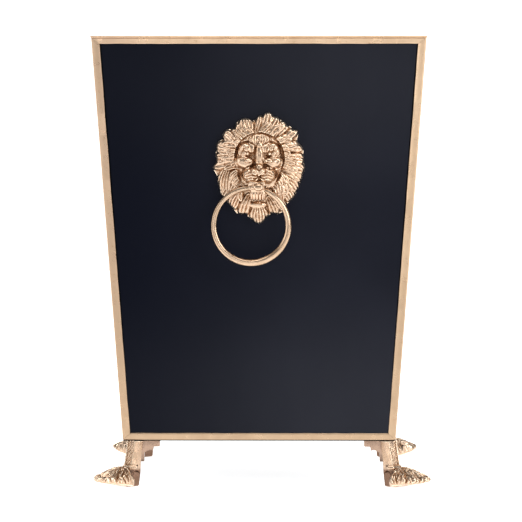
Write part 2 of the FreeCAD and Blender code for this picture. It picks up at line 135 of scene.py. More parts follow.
def enamel_material(name, light, dark, dull, shine):
    """Blue-black enamel: nearly even, with brush ripple, fine orange peel, dust and rubbed patches. Painted
    shade makes it darker on the left; it is also duller on the left, and duller half way up. The heights
    and places are in metres."""
    half_way_up, dull_band, dull_share = 0.23, (0.02, 0.15), 0.48
    left, right = -0.14, 0.08
    material, tree, shader = start_material(name, light, 0.0, 0.4, Specular_IOR_Level=shine)
    place = object_place(tree)
    brushed = object_place(tree, (1.0, 1.0, 0.16))
    cloud = noise(tree, place, 7.0, 2.0)
    ways = add_node(tree, "SeparateXYZ", Vector=place).outputs
    off_middle = reckon(tree, "ABSOLUTE", reckon(tree, "SUBTRACT", ways["Z"], half_way_up))
    polish = reckon(tree, "MULTIPLY", ramp(tree, ways["X"], left, right, dull, shine),
                    ramp(tree, off_middle, *dull_band, dull_share, 1.0))
    tree.links.new(polish, shader.inputs["Specular IOR Level"])
    # Painted shade: the share of the light tone falls from the right to the far left, times the random
    # patches.
    patches_and_left_shade = reckon(tree, "MULTIPLY", ramp(tree, cloud, 0.2, 0.7, 0.5, 1.0),
                    ramp(tree, ways["X"], left, right - 0.01, 0.2, 1.0))
    colour = blend_colours(tree, patches_and_left_shade, dark, light)
    specks = ramp(tree, noise(tree, place, 900.0, 2.0, 0.7), 0.70, 0.80, 0.0, 0.35)
    colour = blend_colours(tree, specks, colour, (0.028, 0.029, 0.034))
    tree.links.new(colour, shader.inputs["Base Color"])
    rub = noise(tree, brushed, 60.0, 4.0, 0.6)
    tree.links.new(ramp(tree, rub, 0.2, 0.8, 0.36, 0.5), shader.inputs["Roughness"])
    raise_bumps(tree, shader, (noise(tree, brushed, 26.0, 2.0), 0.00035),
                (noise(tree, place, 420.0, 2.0), 0.000025))
    return material


enamel = enamel_material("enamel", (0.0068, 0.0078, 0.0140), (0.0016, 0.0023, 0.0060), 0.06, 0.16)
# A shaded copy of the enamel: near-black and nearly unreflecting, for the painted shade of the hem and the
# painted shadow lines beside the strips.
painted_shadow_enamel = enamel_material("painted_shadow_enamel", (0.0006, 0.0006, 0.0008), (0.0003, 0.0003, 0.0004),
                                0.01, 0.02)
for name in ("front_panel", "right_panel", "rear_panel", "left_panel", "bottom_pan"):
    nodes[name].data.materials.clear()
    nodes[name].data.materials.append(enamel)


# ==== The brass edging ==============================================================================
# Strips of rolled brass, soldered over the edges of the sheet: rounded angle strips up the corners,
# flat strips round the base, and a channel over the rim with a bead along its top. The strips meet in
# mitres, filed by hand and filled with solder, and are lacquered a pale gold over a satin finish.

MM = 0.001
low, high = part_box("front_panel")
BOX_MIDDLE = (low.x + high.x) / 2 / MM                     # a little to the left of the feet's middle
BASE_Z = low.z / MM
RIM_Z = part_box("rim_strip_front")[1].z / MM
STRIP_OUT = 1.6                                            # how far a strip stands off the sheet
STRIP_FACE = 7.4                                           # face width of the corner and rim strips
BASE_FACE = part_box("base_strip_front")[1].z / MM - BASE_Z
CORNER_HALF = (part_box("base_strip_front")[1].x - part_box("base_strip_front")[0].x) / 2 / MM
BASE_HALF = CORNER_HALF - STRIP_OUT
SHEET_TOP = high.z / MM
SLOPE = ((high.x - low.x) / 2 / MM - BASE_HALF) / (SHEET_TOP - BASE_Z)
BEAD = 2.0                                                 # height of the bead along the top of the rim
BAND_TOP = RIM_Z - BEAD
BAND_LOW = RIM_Z - STRIP_FACE
SIDES = ("front", "right", "rear", "left")
CORNERS = ("front_left", "front_right", "rear_right", "rear_left")


def half_width(z):
    """Half the outside width of the sheet at that height: it grows evenly from the base to the rim."""
    return BASE_HALF + SLOPE * (z - BASE_Z)


def quad_grid(rows, columns, ring_rows, ring_columns):
    """The corner numbers of each quad of a grid of points, closed round on itself where a ring is asked
    for."""
    i = np.arange(rows if ring_rows else rows - 1)[:, None]
    j = np.arange(columns if ring_columns else columns - 1)[None, :]
    i1, j1 = (i + 1) % rows, (j + 1) % columns
    corners = np.stack([i * columns + j, i * columns + j1, i1 * columns + j1, i1 * columns + j], axis=-1)
    return corners.reshape(-1, 4)


def shell(points, ring_rows=False, ring_columns=True, capped=True):
    """One closed surface: a grid of points and, at its first and last rows, a point in the middle of
    each."""
    rows, columns = points.shape[:2]
    verts = points.reshape(-1, 3)
    faces = quad_grid(rows, columns, ring_rows, ring_columns)
    if capped:
        middles = np.stack([points[0].mean(0), points[-1].mean(0)])
        j = np.arange(columns)
        first = np.stack([np.full(columns, len(verts)), (j + 1) % columns, j, j], axis=-1)
        base = (rows - 1) * columns
        last = np.stack([np.full(columns, len(verts) + 1), base + j, base + (j + 1) % columns,
                         base + (j + 1) % columns], axis=-1)
        verts = np.vstack([verts, middles])
        faces = np.vstack([faces, first, last])
    return verts, faces


def quarter_turn(verts, quarters):
    """Points turned by quarter turns about the box's upright axis."""
    c, s = ((1, 0), (0, 1), (-1, 0), (0, -1))[quarters % 4]
    x, y = verts[:, 0], verts[:, 1]
    return np.stack([c * x - s * y, s * x + c * y, verts[:, 2]], axis=-1)


def measure_hollows(mesh, rounds, depth):
    """Stores how deep each point lies in a hollow: its distance below the surface smoothed by averaging
    each point with its neighbours that many times, as a share of depth, with 0.5 for a flat place."""
    count = len(mesh.vertices)
    co = np.empty(count * 3)
    mesh.vertices.foreach_get("co", co)
    co = co.reshape(-1, 3)
    normal = np.empty(count * 3)
    mesh.vertices.foreach_get("normal", normal)
    ends = np.empty(len(mesh.edges) * 2, dtype=np.int64)
    mesh.edges.foreach_get("vertices", ends)
    a, b = ends[0::2], ends[1::2]
    degree = np.maximum(np.bincount(np.concatenate([a, b]), minlength=count), 1)[:, None]
    smooth = co.copy()
    for _ in range(rounds):
        total = np.stack([np.bincount(a, smooth[b, k], count) + np.bincount(b, smooth[a, k], count)
                          for k in range(3)], axis=-1)
        smooth = 0.5 * smooth + 0.5 * total / degree
    below = ((smooth - co) * normal.reshape(-1, 3)).sum(1)
    layer = mesh.attributes.new("hollow", "FLOAT", "POINT")
    layer.data.foreach_set("value", np.clip(0.5 + 0.5 * below / depth, 0.0, 1.0).astype(np.float32))


def make_piece(name, shells, material, body, replaced=None, hollows=(0, 1.0), sharp=None):
    """One piece from closed surfaces in millimetres about the box's middle. Points that coincide are
    merged, faces are turned outwards, and edges sharper than the given angle stay crisp. A surface may
    bring a third entry: for each of its points, a share of painted shade from 0 to 1, given to the smooth
    parts of a casting to darken their bright reflections. It is stored as the attribute that the cast
    brass reads."""
    start = 0
    verts, faces, painted_shade = [], [], []
    for points, quads, *share in shells:
        verts.append(points)
        faces.append(quads + start)
        painted_shade.append(share[0] if share else np.zeros(len(points)))
        start += len(points)
    verts = (np.vstack(verts) + (BOX_MIDDLE, 0.0, 0.0)) * MM
    faces = np.vstack(faces)
    mesh = bpy.data.meshes.new(name)
    work = bmesh.new()
    tidy = [list(dict.fromkeys(quad)) for quad in faces.tolist()]    # a quad may name a corner twice
    mesh.from_pydata(verts.tolist(), [], [quad for quad in tidy if len(quad) > 2])
    layer = mesh.attributes.new("painted_shade", "FLOAT", "POINT")
    layer.data.foreach_set("value", np.concatenate(painted_shade).astype(np.float32))
    work.from_mesh(mesh)
    bmesh.ops.remove_doubles(work, verts=work.verts, dist=1e-6)
    bmesh.ops.dissolve_degenerate(work, edges=work.edges, dist=1e-7)
    bmesh.ops.recalc_face_normals(work, faces=work.faces)
    work.to_mesh(mesh)
    work.free()
    mesh.shade_smooth()
    if sharp is not None:
        mesh.set_sharp_from_angle(angle=math.radians(sharp))
    measure_hollows(mesh, *hollows)
    mesh.materials.append(material)
    piece = bpy.data.objects.new(name, mesh)
    bpy.context.scene.collection.objects.link(piece)
    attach(piece, body)
    if replaced:
        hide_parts(replaced)
    return piece


def rolled_brass_material():
    """Lacquered rolled brass: pale gold with cloudy tarnish and small brown spots, and painted shade that
    makes it browner at the far left and darker low down."""
    material, tree, shader = start_material("rolled_brass", (0.70, 0.50, 0.34), 1.0, 0.3)
    place = object_place(tree)
    cloud = ramp(tree, noise(tree, place, 34.0, 4.0, 0.6), 0.3, 0.7)
    colour = blend_colours(tree, cloud, (0.68, 0.495, 0.335), (0.59, 0.415, 0.27))
    ways = add_node(tree, "SeparateXYZ", Vector=place).outputs
    # Painted shade: browner towards the far left.
    colour = blend_colours(tree, ramp(tree, ways["X"], -0.09, -0.14, 0.0, 0.7), colour, (0.55, 0.385, 0.27))
    # Painted shade: darker low down.
    colour = blend_colours(tree, ramp(tree, ways["Z"], 0.36, 0.07, 0.0, 0.76), colour, (0.34, 0.235, 0.15))
    spots = ramp(tree, noise(tree, place, 380.0, 3.0, 0.65), 0.60, 0.72, 0.0, 0.6)
    colour = blend_colours(tree, spots, colour, (0.40, 0.24, 0.135))
    tree.links.new(colour, shader.inputs["Base Color"])
    matt = ramp(tree, noise(tree, place, 120.0, 4.0), 0.25, 0.75, 0.24, 0.42)
    tree.links.new(matt, shader.inputs["Roughness"])
    raise_bumps(tree, shader, (noise(tree, place, 45.0, 2.0), 0.00022),
                (noise(tree, place, 700.0, 3.0), 0.00003))
    return material


rolled_brass = rolled_brass_material()


def rounded_profile(corners, radii, steps=5):
    """A closed outline with each corner turned into an arc of its radius: the arc runs from one tangent
    point to the other by a quadratic curve pulled to the corner. A pair of close points ends each
    straight, to keep it flat."""
    corners = np.array(corners, float)
    out = []
    count = len(corners)
    t = np.linspace(0.0, 1.0, steps)[:, None]
    for k in range(count):
        p, back, on = corners[k], corners[k - 1], corners[(k + 1) % count]
        to_back, to_on = back - p, on - p
        reach = min(radii[k], 0.45 * np.linalg.norm(to_back), 0.45 * np.linalg.norm(to_on))
        a = p + to_back / np.linalg.norm(to_back) * reach
        b = p + to_on / np.linalg.norm(to_on) * reach
        out.append((1 - t) ** 2 * a + 2 * t * (1 - t) * p + t ** 2 * b)
    return np.vstack(out)


def hand_wave(along, seed, amount):
    """The slight waver of a hand-filed edge: a sum of five sine waves of different length along the
    strip."""
    rng = np.random.default_rng(seed)
    lengths = rng.uniform(14.0, 90.0, 5)
    phases = rng.uniform(0, 2 * np.pi, 5)
    return amount * sum(np.sin(2 * np.pi * along / n + p) for n, p in zip(lengths, phases)) / 2.2


def strip_stations(length_steps=90, seam=0.0022):
    """Places along a strip as shares of its length, from end to end, with close pairs at the ends for the
    seams."""
    between = np.linspace(2.5 * seam, 1 - 2.5 * seam, length_steps)
    return np.concatenate([[0.0, seam], between, [1 - seam, 1.0]])


def strip_between(starts, ends, seed, waver_axis, waver_share, seam_depth=0.22):
    """A strip: each point of its outline runs straight from its start to its end, the outline is drawn in
    towards its middle at the two ends to show the filed seam, and the free edge wavers."""
    share = strip_stations()[:, None, None]
    points = starts[None] * (1 - share) + ends[None] * share
    middle = points.mean(1, keepdims=True)
    towards = middle - points
    towards /= np.maximum(np.linalg.norm(towards, axis=2, keepdims=True), 1e-9)
    at_end = np.zeros(len(share))
    at_end[[0, -1]] = seam_depth
    points = points + towards * at_end[:, None, None]
    along = share[:, 0, 0] * np.linalg.norm(ends[0] - starts[0])
    fade = np.clip(np.minimum(along, along[-1] - along) / 8.0, 0, 1)
    waver = hand_wave(along, seed, 0.10) * fade
    return points + waver[:, None, None] * waver_share[None, :, None] * np.array(waver_axis)[None, None, :]


def base_strip_points(seed):
    """The front base strip: a flat bar with eased edges, cut at each end by the mitre to the corner strip
    and by the mitre to the next side, whichever comes first."""
    e, t = 0.55, STRIP_OUT
    outline = rounded_profile([(0.02, 0), (t - e, 0), (t - 0.1, e), (t, BASE_FACE - 1.5 * e),
                               (t - e, BASE_FACE), (0.02, BASE_FACE)], [0.05, 0.3, 0.3, 0.4, 0.3, 0.05])
    out, up = outline[:, 0], outline[:, 1]
    y = -(half_width(BASE_Z + up) + out)
    inset = np.maximum(up * STRIP_FACE / BASE_FACE, CORNER_HALF + y)
    x = CORNER_HALF - inset
    points = [np.stack([side * x, y, BASE_Z + up], axis=-1) for side in (-1, 1)]
    return strip_between(*points, seed, (0, 0, 1), np.clip(up / BASE_FACE, 0, 1) ** 2)


def rim_strip_points(seed):
    """The front rim strip: a channel over the sheet with a half-round bead along its top, cut like a base
    strip."""
    e, t, leg = 0.6, STRIP_OUT, 2.0
    bead_middle, bead_out = BAND_TOP + BEAD / 2, t - 0.35
    angle = np.linspace(-0.5 * np.pi, 0.5 * np.pi, 11)
    bead = np.stack([bead_out + 1.05 * np.cos(angle), bead_middle + 0.5 * BEAD * np.sin(angle)], axis=-1)
    band = rounded_profile([(0.02, BAND_LOW), (t - e, BAND_LOW), (t, BAND_LOW + e), (t, BAND_TOP - 0.5),
                            (t - 0.55, BAND_TOP - 0.05)], [0.05, 0.3, 0.4, 0.25, 0.1])
    leg_low = SHEET_TOP - 5.0
    inside = rounded_profile([(-0.3, RIM_Z), (-leg, RIM_Z), (-leg, leg_low), (-1.02, leg_low),
                              (-1.02, SHEET_TOP), (0.02, SHEET_TOP)], [0.05, 0.6, 0.3, 0.2, 0.05, 0.05])
    outline = np.vstack([band, bead, inside])
    out, z = outline[:, 0], outline[:, 1]
    y = -(half_width(z) + out)
    corner = half_width(BAND_TOP) + t
    band_high = BAND_TOP - BAND_LOW
    across = np.where(out > 0.0, np.clip(BAND_TOP - z, 0, None) * (STRIP_FACE + SLOPE * band_high)
                      / band_high, 0.0)
    x = np.minimum(-y, np.where(across > 0, corner - across, -y))
    points = [np.stack([side * x, y, z], axis=-1) for side in (-1, 1)]
    share = np.where((z < BAND_TOP - 1.0) & (out > 0), 1.0, 0.0)
    return strip_between(*points, seed, (0, 0, 1), share)


def corner_strip_points(seed):
    """The front left corner strip: an angle with a rounded outer corner and eased edges, running up the
    slanted edge of the box between its two mitres."""
    e, t, w = 0.5, STRIP_OUT, STRIP_FACE
    angle = np.linspace(0, 0.5 * np.pi, 9)
    nose = 1.5 * (1 - np.stack([np.cos(angle), np.sin(angle)], axis=-1))[::-1]
    back = t - 0.02
    arms = rounded_profile([(w - e, 0), (w, e), (w, back), (back, back), (back, w), (e, w), (0, w - e)],
                           [0.4, 0.3, 0.05, 0.05, 0.05, 0.3, 0.4])
    outline = np.vstack([nose[::-1], arms])
    a, b = outline[:, 0], outline[:, 1]
    far = np.maximum(a, b)
    k = BASE_FACE / STRIP_FACE
    rise = far * k / (1 + SLOPE * k)
    fall = far * (BAND_TOP - BAND_LOW) / STRIP_FACE
    ends = []
    for dz in (rise, BAND_TOP - BASE_Z - fall):
        corner = CORNER_HALF + SLOPE * dz
        ends.append(np.stack([a - corner, b - corner, BASE_Z + dz], axis=-1))
    share_x = np.clip((a - 0.6 * w) / (0.4 * w), 0, 1)
    points = strip_between(*ends, seed, (1, 0, 0), share_x)
    share_y = np.clip((b - 0.6 * w) / (0.4 * w), 0, 1)
    shift = hand_wave(points[:, 0, 2], seed + 50, 0.10)
    points[:, :, 1] += shift[:, None] * share_y[None, :]
    return points


HEM = 0.85              # height of the sheet's folded lower edge, below the base strips


def hem_points():
    """The front hem: the sheet's folded lower edge, a half-round bar. It takes the shaded copy of the
    enamel, so it shows as a dark line of painted shade under the strip."""
    angle = np.linspace(0, 2 * np.pi, 16, endpoint=False)
    out, up = 0.2 + 0.9 * np.cos(angle), 0.5 * HEM * np.sin(angle) - 0.5 * HEM + 0.03
    y = -(BASE_HALF + out)
    points = [np.stack([side * -y, y, BASE_Z + up], axis=-1) for side in (-1, 1)]
    share = np.linspace(0, 1, 40)[:, None, None]
    return points[0][None] * (1 - share) + points[1][None] * share


# The painted shadow line beside the strips: its width, and how far it stands off the sheet.
SHADOW_LINE_WIDE = 1.15        # the line of black enamel beside a strip, and how far it stands off the sheet
SHADOW_LINE_PROUD = 0.45


def painted_shadow_shells():
    """A painted shadow line of near-black enamel along the front of the base strip, and along both arms of
    the front left corner strip: low bars with a round top, from the strip's edge onto the sheet."""
    angle = np.linspace(0, 2 * np.pi, 14, endpoint=False)
    wide = 0.5 * SHADOW_LINE_WIDE * (1 + np.cos(angle)) - 0.05
    proud = SHADOW_LINE_PROUD * np.sin(angle)
    share = np.linspace(0, 1, 60)[:, None, None]
    z = BASE_Z + BASE_FACE + wide
    x = CORNER_HALF - STRIP_FACE + 0.3 + SLOPE * BASE_FACE
    starts, ends = (np.stack([side * x + 0 * z, -half_width(z) - proud, z], axis=-1) for side in (-1, 1))
    shells = [shell(starts[None] * (1 - share) + ends[None] * share)]
    for swap in (False, True):
        a, b = STRIP_FACE + wide, STRIP_OUT - proud
        a, b = (b, a) if swap else (a, b)
        ends = [np.stack([a - (CORNER_HALF + SLOPE * dz), b - (CORNER_HALF + SLOPE * dz), BASE_Z + dz + 0 * a],
                         axis=-1) for dz in (BASE_FACE - 0.3, BAND_LOW - BASE_Z + 0.3)]
        shells.append(shell(ends[0][None] * (1 - share) + ends[1][None] * share))
    return shells


for i, side in enumerate(SIDES):
    for kind, maker in (("base_strip_", base_strip_points), ("rim_strip_", rim_strip_points)):
        verts, faces = shell(maker(3 * i + len(kind)))
        make_piece(kind + side + "_brass", [(quarter_turn(verts, i), faces)], rolled_brass,
                   "bin", kind + side, sharp=40)
    # The hem takes the shaded enamel, as painted shade under the strip.
    verts, faces = shell(hem_points())
    make_piece("hem_" + side, [(quarter_turn(verts, i), faces)], painted_shadow_enamel, "bin")
    # Bars of the shaded enamel beside the strips, as painted shadow lines.
    shadow_lines = [(quarter_turn(verts, i), faces) for verts, faces in painted_shadow_shells()]
    make_piece("painted_shadow_line_" + side, shadow_lines, painted_shadow_enamel, "bin")
for i, corner in enumerate(CORNERS):
    verts, faces = shell(corner_strip_points(31 + i))
    make_piece("corner_strip_" + corner + "_brass", [(quarter_turn(verts, i), faces)], rolled_brass,
               "bin", "corner_strip_" + corner, sharp=40)


# ==== The rings =====================================================================================
# Each ring is a polished brass rod bent round and brazed shut, a little thinner where it has worn in the
# lion's mouth. It hangs plumb, slipped a few millimetres to one side, and swings up and out.

RING_RADIUS = 33.9          # to the middle of the rod
RING_ROD_LOW = 3.4          # the rod's radius at the bottom, and in the mouth
RING_ROD_TOP = 2.4
RING_SLIDE = 7.0            # how far the ring has slipped to the lion's right
RING_DROP = 33.17           # from the axis down to the ring's middle
RING_SWING = (-9, 140)      # degrees, from against the panel to in front of the brow
pivots = {joint["child"]: np.array(joint["pos_m"]) / MM - (BOX_MIDDLE, 0.0, 0.0) for joint in frame["joints"]}
front_pivot = pivots["front_ring"]


def cast_brass_material(name, light, dark, rough_low, rough_high, grain):
    """Cast brass, gilded and lacquered: light on what was rubbed, brown wax and dirt left in the hollows,
    fine sand grain and small dents. The hollow attribute gives the relief; the painted-shade attribute
    darkens the smooth parts as painted shade, to tone down their bright reflections."""
    material, tree, shader = start_material(name, light, 1.0, rough_low)
    place = object_place(tree)
    fine = add_node(tree, "Attribute", {"attribute_name": "hollow"}).outputs["Fac"]
    cloud = ramp(tree, noise(tree, place, 48.0, 4.0, 0.6), 0.3, 0.72)
    colour = blend_colours(tree, cloud, light, dark)
    spots = ramp(tree, noise(tree, place, 520.0, 3.0, 0.65), 0.56, 0.72, 0.0, 0.5)
    colour = blend_colours(tree, spots, colour, (0.33, 0.18, 0.095))
    colour = blend_colours(tree, ramp(tree, fine, 0.51, 0.70, 0.0, 0.95), colour, (0.26, 0.125, 0.055))
    colour = blend_colours(tree, ramp(tree, fine, 0.44, 0.22), colour, (0.92, 0.75, 0.57))
    # Painted shade: the smooth wings and heels are multiplied darker, to tone down their bright reflections.
    painted_shade = add_node(tree, "Attribute", {"attribute_name": "painted_shade"}).outputs["Fac"]
    colour = blend_colours(tree, painted_shade, colour, (0.36, 0.30, 0.29), "MULTIPLY")
    tree.links.new(colour, shader.inputs["Base Color"])
    uneven = ramp(tree, noise(tree, place, 160.0, 4.0, 0.65), 0.25, 0.75, rough_low, rough_high)
    matt = ramp(tree, fine, 0.5, 0.8, 0.0, 0.35)
    tree.links.new(reckon(tree, "ADD", uneven, matt), shader.inputs["Roughness"])
    raise_bumps(tree, shader, (noise(tree, place, 90.0, 3.0), 0.0002),
                (noise(tree, place, grain, 3.0), 0.00004))
    return material


polished_brass = cast_brass_material("polished_brass", (0.56, 0.405, 0.285), (0.45, 0.31, 0.205),
                                     0.16, 0.3, 900.0)


def ring_points():
    """A ring of rod. The middle line is a circle in the upright plane through the pivot, seen from the
    front; the rod's radius goes as a cosine from the worn top to the full bottom, with faint flats drawn
    along it and one low brazed seam."""
    turn = np.linspace(0, 2 * np.pi, 240, endpoint=False)[:, None]
    around = np.linspace(0, 2 * np.pi, 40, endpoint=False)[None, :]
    rod = RING_ROD_TOP + (RING_ROD_LOW - RING_ROD_TOP) * (1 - np.cos(turn)) / 2
    seam = np.exp(-((turn - 1.15 * np.pi) / 0.012) ** 2)
    rod = rod * (1 - 0.028 * (1 + np.cos(5 * around + 2 * np.sin(turn))) - 0.02 * seam)
    rod = rod - 0.05 * (1 + np.sin(3 * turn + around)) * (1 - np.cos(turn)) / 2
    out = RING_RADIUS + rod * np.cos(around)
    centre = front_pivot + (-RING_SLIDE, 0.0, -RING_DROP)
    return np.stack([centre[0] + out * np.sin(turn), centre[1] - rod * np.sin(around) + 0 * turn,
                     centre[2] + out * np.cos(turn)], axis=-1)


for i, end in ((0, "front"), (2, "rear")):
    verts, faces = shell(ring_points(), ring_rows=True, capped=False)
    make_piece("ring_" + end + "_brass", [(quarter_turn(verts, i), faces)], polished_brass,
               end + "_ring", "ring_" + end)


# ==== The lion masks ================================================================================
# One hollow-backed brass casting on the front and one on the rear: a broad lion's face in a mane of
# combed tufts, with a jaw that bridges the ring. Chased after casting, gilded and rubbed back.

PIVOT_UP, PIVOT_OUT = -19.0, 11.0       # the ring's axis, from the mask's middle and from the panel
MASK_LEAN = math.atan(SLOPE)
panel_up = np.array([0.0, -math.sin(MASK_LEAN), math.cos(MASK_LEAN)])
panel_out = np.array([0.0, -math.cos(MASK_LEAN), -math.sin(MASK_LEAN)])
MASK_MIDDLE = front_pivot - PIVOT_UP * panel_up - PIVOT_OUT * panel_out
MASK_OUTLINE = np.array([
    (-22, 36), (-20, 41), (-16, 44), (-11, 45), (-8, 44), (-5, 42.5), (-3, 43.5), (0, 47), (2, 47.5),
    (3.5, 46.5), (5.5, 49), (8, 50.5), (11, 49.3), (14, 46), (17, 46), (20, 43), (23, 42), (26, 38),
    (29, 37.5), (31.5, 34), (35.5, 34.5), (36, 29), (34.8, 25), (36, 22), (39, 20), (41, 15), (40.6, 11),
    (41.5, 8), (41, 4), (42.3, 0), (41, -4), (39.8, -8), (39, -12), (37.5, -14.5), (37, -18), (34.5, -22),
    (33.5, -26), (30, -29.5), (26.5, -33), (25, -37), (22, -41), (17, -43), (12, -42), (9, -44.5),
    (6, -46.5), (4, -50), (0, -52), (-3, -51), (-6, -48), (-9, -46.5), (-12, -42.5), (-15, -43.5),
    (-20, -42.5), (-24, -37.5), (-28, -33), (-30, -29), (-34, -26.5), (-36, -20), (-37.5, -14),
    (-38.6, -7), (-41, -3), (-42, 0.5), (-39.5, 3.5), (-38.6, 8), (-39.6, 12), (-38.6, 16), (-39, 20.5),
    (-36.5, 24), (-32.6, 25.8), (-33.2, 30), (-30, 34.3), (-25.5, 35)])


def rim_distance(angle):
    """How far the casting's edge is from its middle in that direction: the outline's points, joined and
    then eased by averaging over a few degrees."""
    around = np.arctan2(MASK_OUTLINE[:, 1], MASK_OUTLINE[:, 0])
    order = np.argsort(around)
    reach = np.hypot(*MASK_OUTLINE.T)[order]
    turns = np.linspace(-np.pi, np.pi, 1441)[:-1]
    line = np.interp(turns, around[order], reach, period=2 * np.pi)
    line = sum(np.roll(line, k) for k in range(-5, 6)) / 11
    return np.interp(angle, turns, line, period=2 * np.pi)


def disc_grid(count):
    """A square grid laid on the mask: squares about the middle become rings of the outline's shape. Gives
    x, y and the share of the way out to the rim."""
    a, b = np.meshgrid(np.linspace(-1, 1, count), np.linspace(-1, 1, count))
    wide = np.abs(a) > np.abs(b)
    share = np.where(wide, np.abs(a), np.abs(b))
    with np.errstate(divide="ignore", invalid="ignore"):
        turn = np.where(wide, np.where(a > 0, 0.0, np.pi) + 0.25 * np.pi * b / a,
                        np.where(b > 0, 0.5, -0.5) * np.pi - 0.25 * np.pi * a / b)
    turn = np.nan_to_num(turn)
    reach = share * rim_distance(turn)
    return reach * np.cos(turn), reach * np.sin(turn), share


def dome(x, y, middle, radii, tilt=0.0):
    """1 at the middle of an oval, falling like a ball's surface to 0 at its edge."""
    c, s = math.cos(math.radians(tilt)), math.sin(math.radians(tilt))
    u, v = c * (x - middle[0]) + s * (y - middle[1]), -s * (x - middle[0]) + c * (y - middle[1])
    return np.sqrt(np.clip(1 - (u / radii[0]) ** 2 - (v / radii[1]) ** 2, 0, 1))


def swell(x, y, middle, radii, tilt=0.0):
    """1 at the middle of an oval, falling like a bell to a third at its edge."""
    c, s = math.cos(math.radians(tilt)), math.sin(math.radians(tilt))
    u, v = c * (x - middle[0]) + s * (y - middle[1]), -s * (x - middle[0]) + c * (y - middle[1])
    return np.exp(-(u / radii[0]) ** 2 - (v / radii[1]) ** 2)


def over(first, second, ease):
    """The higher of two surfaces, with the crease between them filled in by about ease."""
    return 0.5 * (first + second + np.sqrt((first - second) ** 2 + ease ** 2))


def line_place(x, y, points):
    """For a line through the points: how far each place is from it, to which side, and what share of it
    is behind."""
    points = np.array(points, float)
    best = np.full(x.shape, 1e9)
    side, share = np.zeros(x.shape), np.zeros(x.shape)
    lengths = np.hypot(*np.diff(points, axis=0).T)
    before = np.concatenate([[0.0], np.cumsum(lengths)]) / lengths.sum()
    for k in range(len(points) - 1):
        ax, ay = points[k]
        dx, dy = (points[k + 1] - points[k]) / lengths[k]
        along = np.clip((x - ax) * dx + (y - ay) * dy, 0.0, lengths[k])
        px, py = x - ax - along * dx, y - ay - along * dy
        away = np.hypot(px, py)
        near = away < best
        best = np.where(near, away, best)
        side = np.where(near, np.sign(dx * py - dy * px) * away, side)
        share = np.where(near, before[k] + along / lengths.sum(), share)
    return best, side, share


def groove(x, y, points, width, depth):
    """A chased line: a bell-shaped cut along the points, running out at both ends."""
    away, _, share = line_place(x, y, points)
    ends = np.clip(8 * share + 0.3, 0, 1) * np.clip(8 * (1 - share) + 0.3, 0, 1)
    return depth * np.exp(-(away / width) ** 2) * ends


def tuft(x, y, root, tip, half, bend, strands, base, proud):
    """A combed tuft: a bar with a rounded end on a line that bends sideways from root to tip, crowned
    across, and cut into rounded strands that fan out with the bar. It rises out of the mane at its
    root."""
    root, tip = np.array(root, float), np.array(tip, float)
    way = tip - root
    middle = 0.5 * (root + tip) + bend * np.array([-way[1], way[0]])
    t = np.linspace(0, 1, 9)[:, None]
    line = (1 - t) ** 2 * root + 2 * t * (1 - t) * middle + t ** 2 * tip
    reach = np.hypot(*way) * 0.75 + half
    close = np.hypot(x - 0.5 * (root + tip)[0], y - 0.5 * (root + tip)[1]) < reach
    out = np.full(x.shape, -1e3)
    if not close.any():
        return out
    px, py = x[close], y[close]
    away, side, share = line_place(px, py, line)
    wide = half * (0.55 + 0.45 * np.sin(0.5 * np.pi * np.clip(share / 0.65, 0, 1)))
    wide = wide * np.sqrt(np.clip(1 - (np.clip(share - 0.66, 0, 1) / 0.36) ** 2, 0.02, 1))
    across = side / wide
    inside = (np.abs(across) < 1) & (away < half * 1.3)
    crown = np.sqrt(np.clip(1 - across ** 2, 0, 1))
    comb = np.abs(np.sin(0.5 * np.pi * strands * (across + 1))) ** 0.8
    rise = np.sin(0.5 * np.pi * np.clip(share / 0.45, 0, 1))
    high = base[close] + proud * (rise * crown - 0.45) + 1.25 * (comb - 0.55) * (0.35 + 0.65 * crown)
    out[close] = np.where(inside, high, -1e3)
    return out


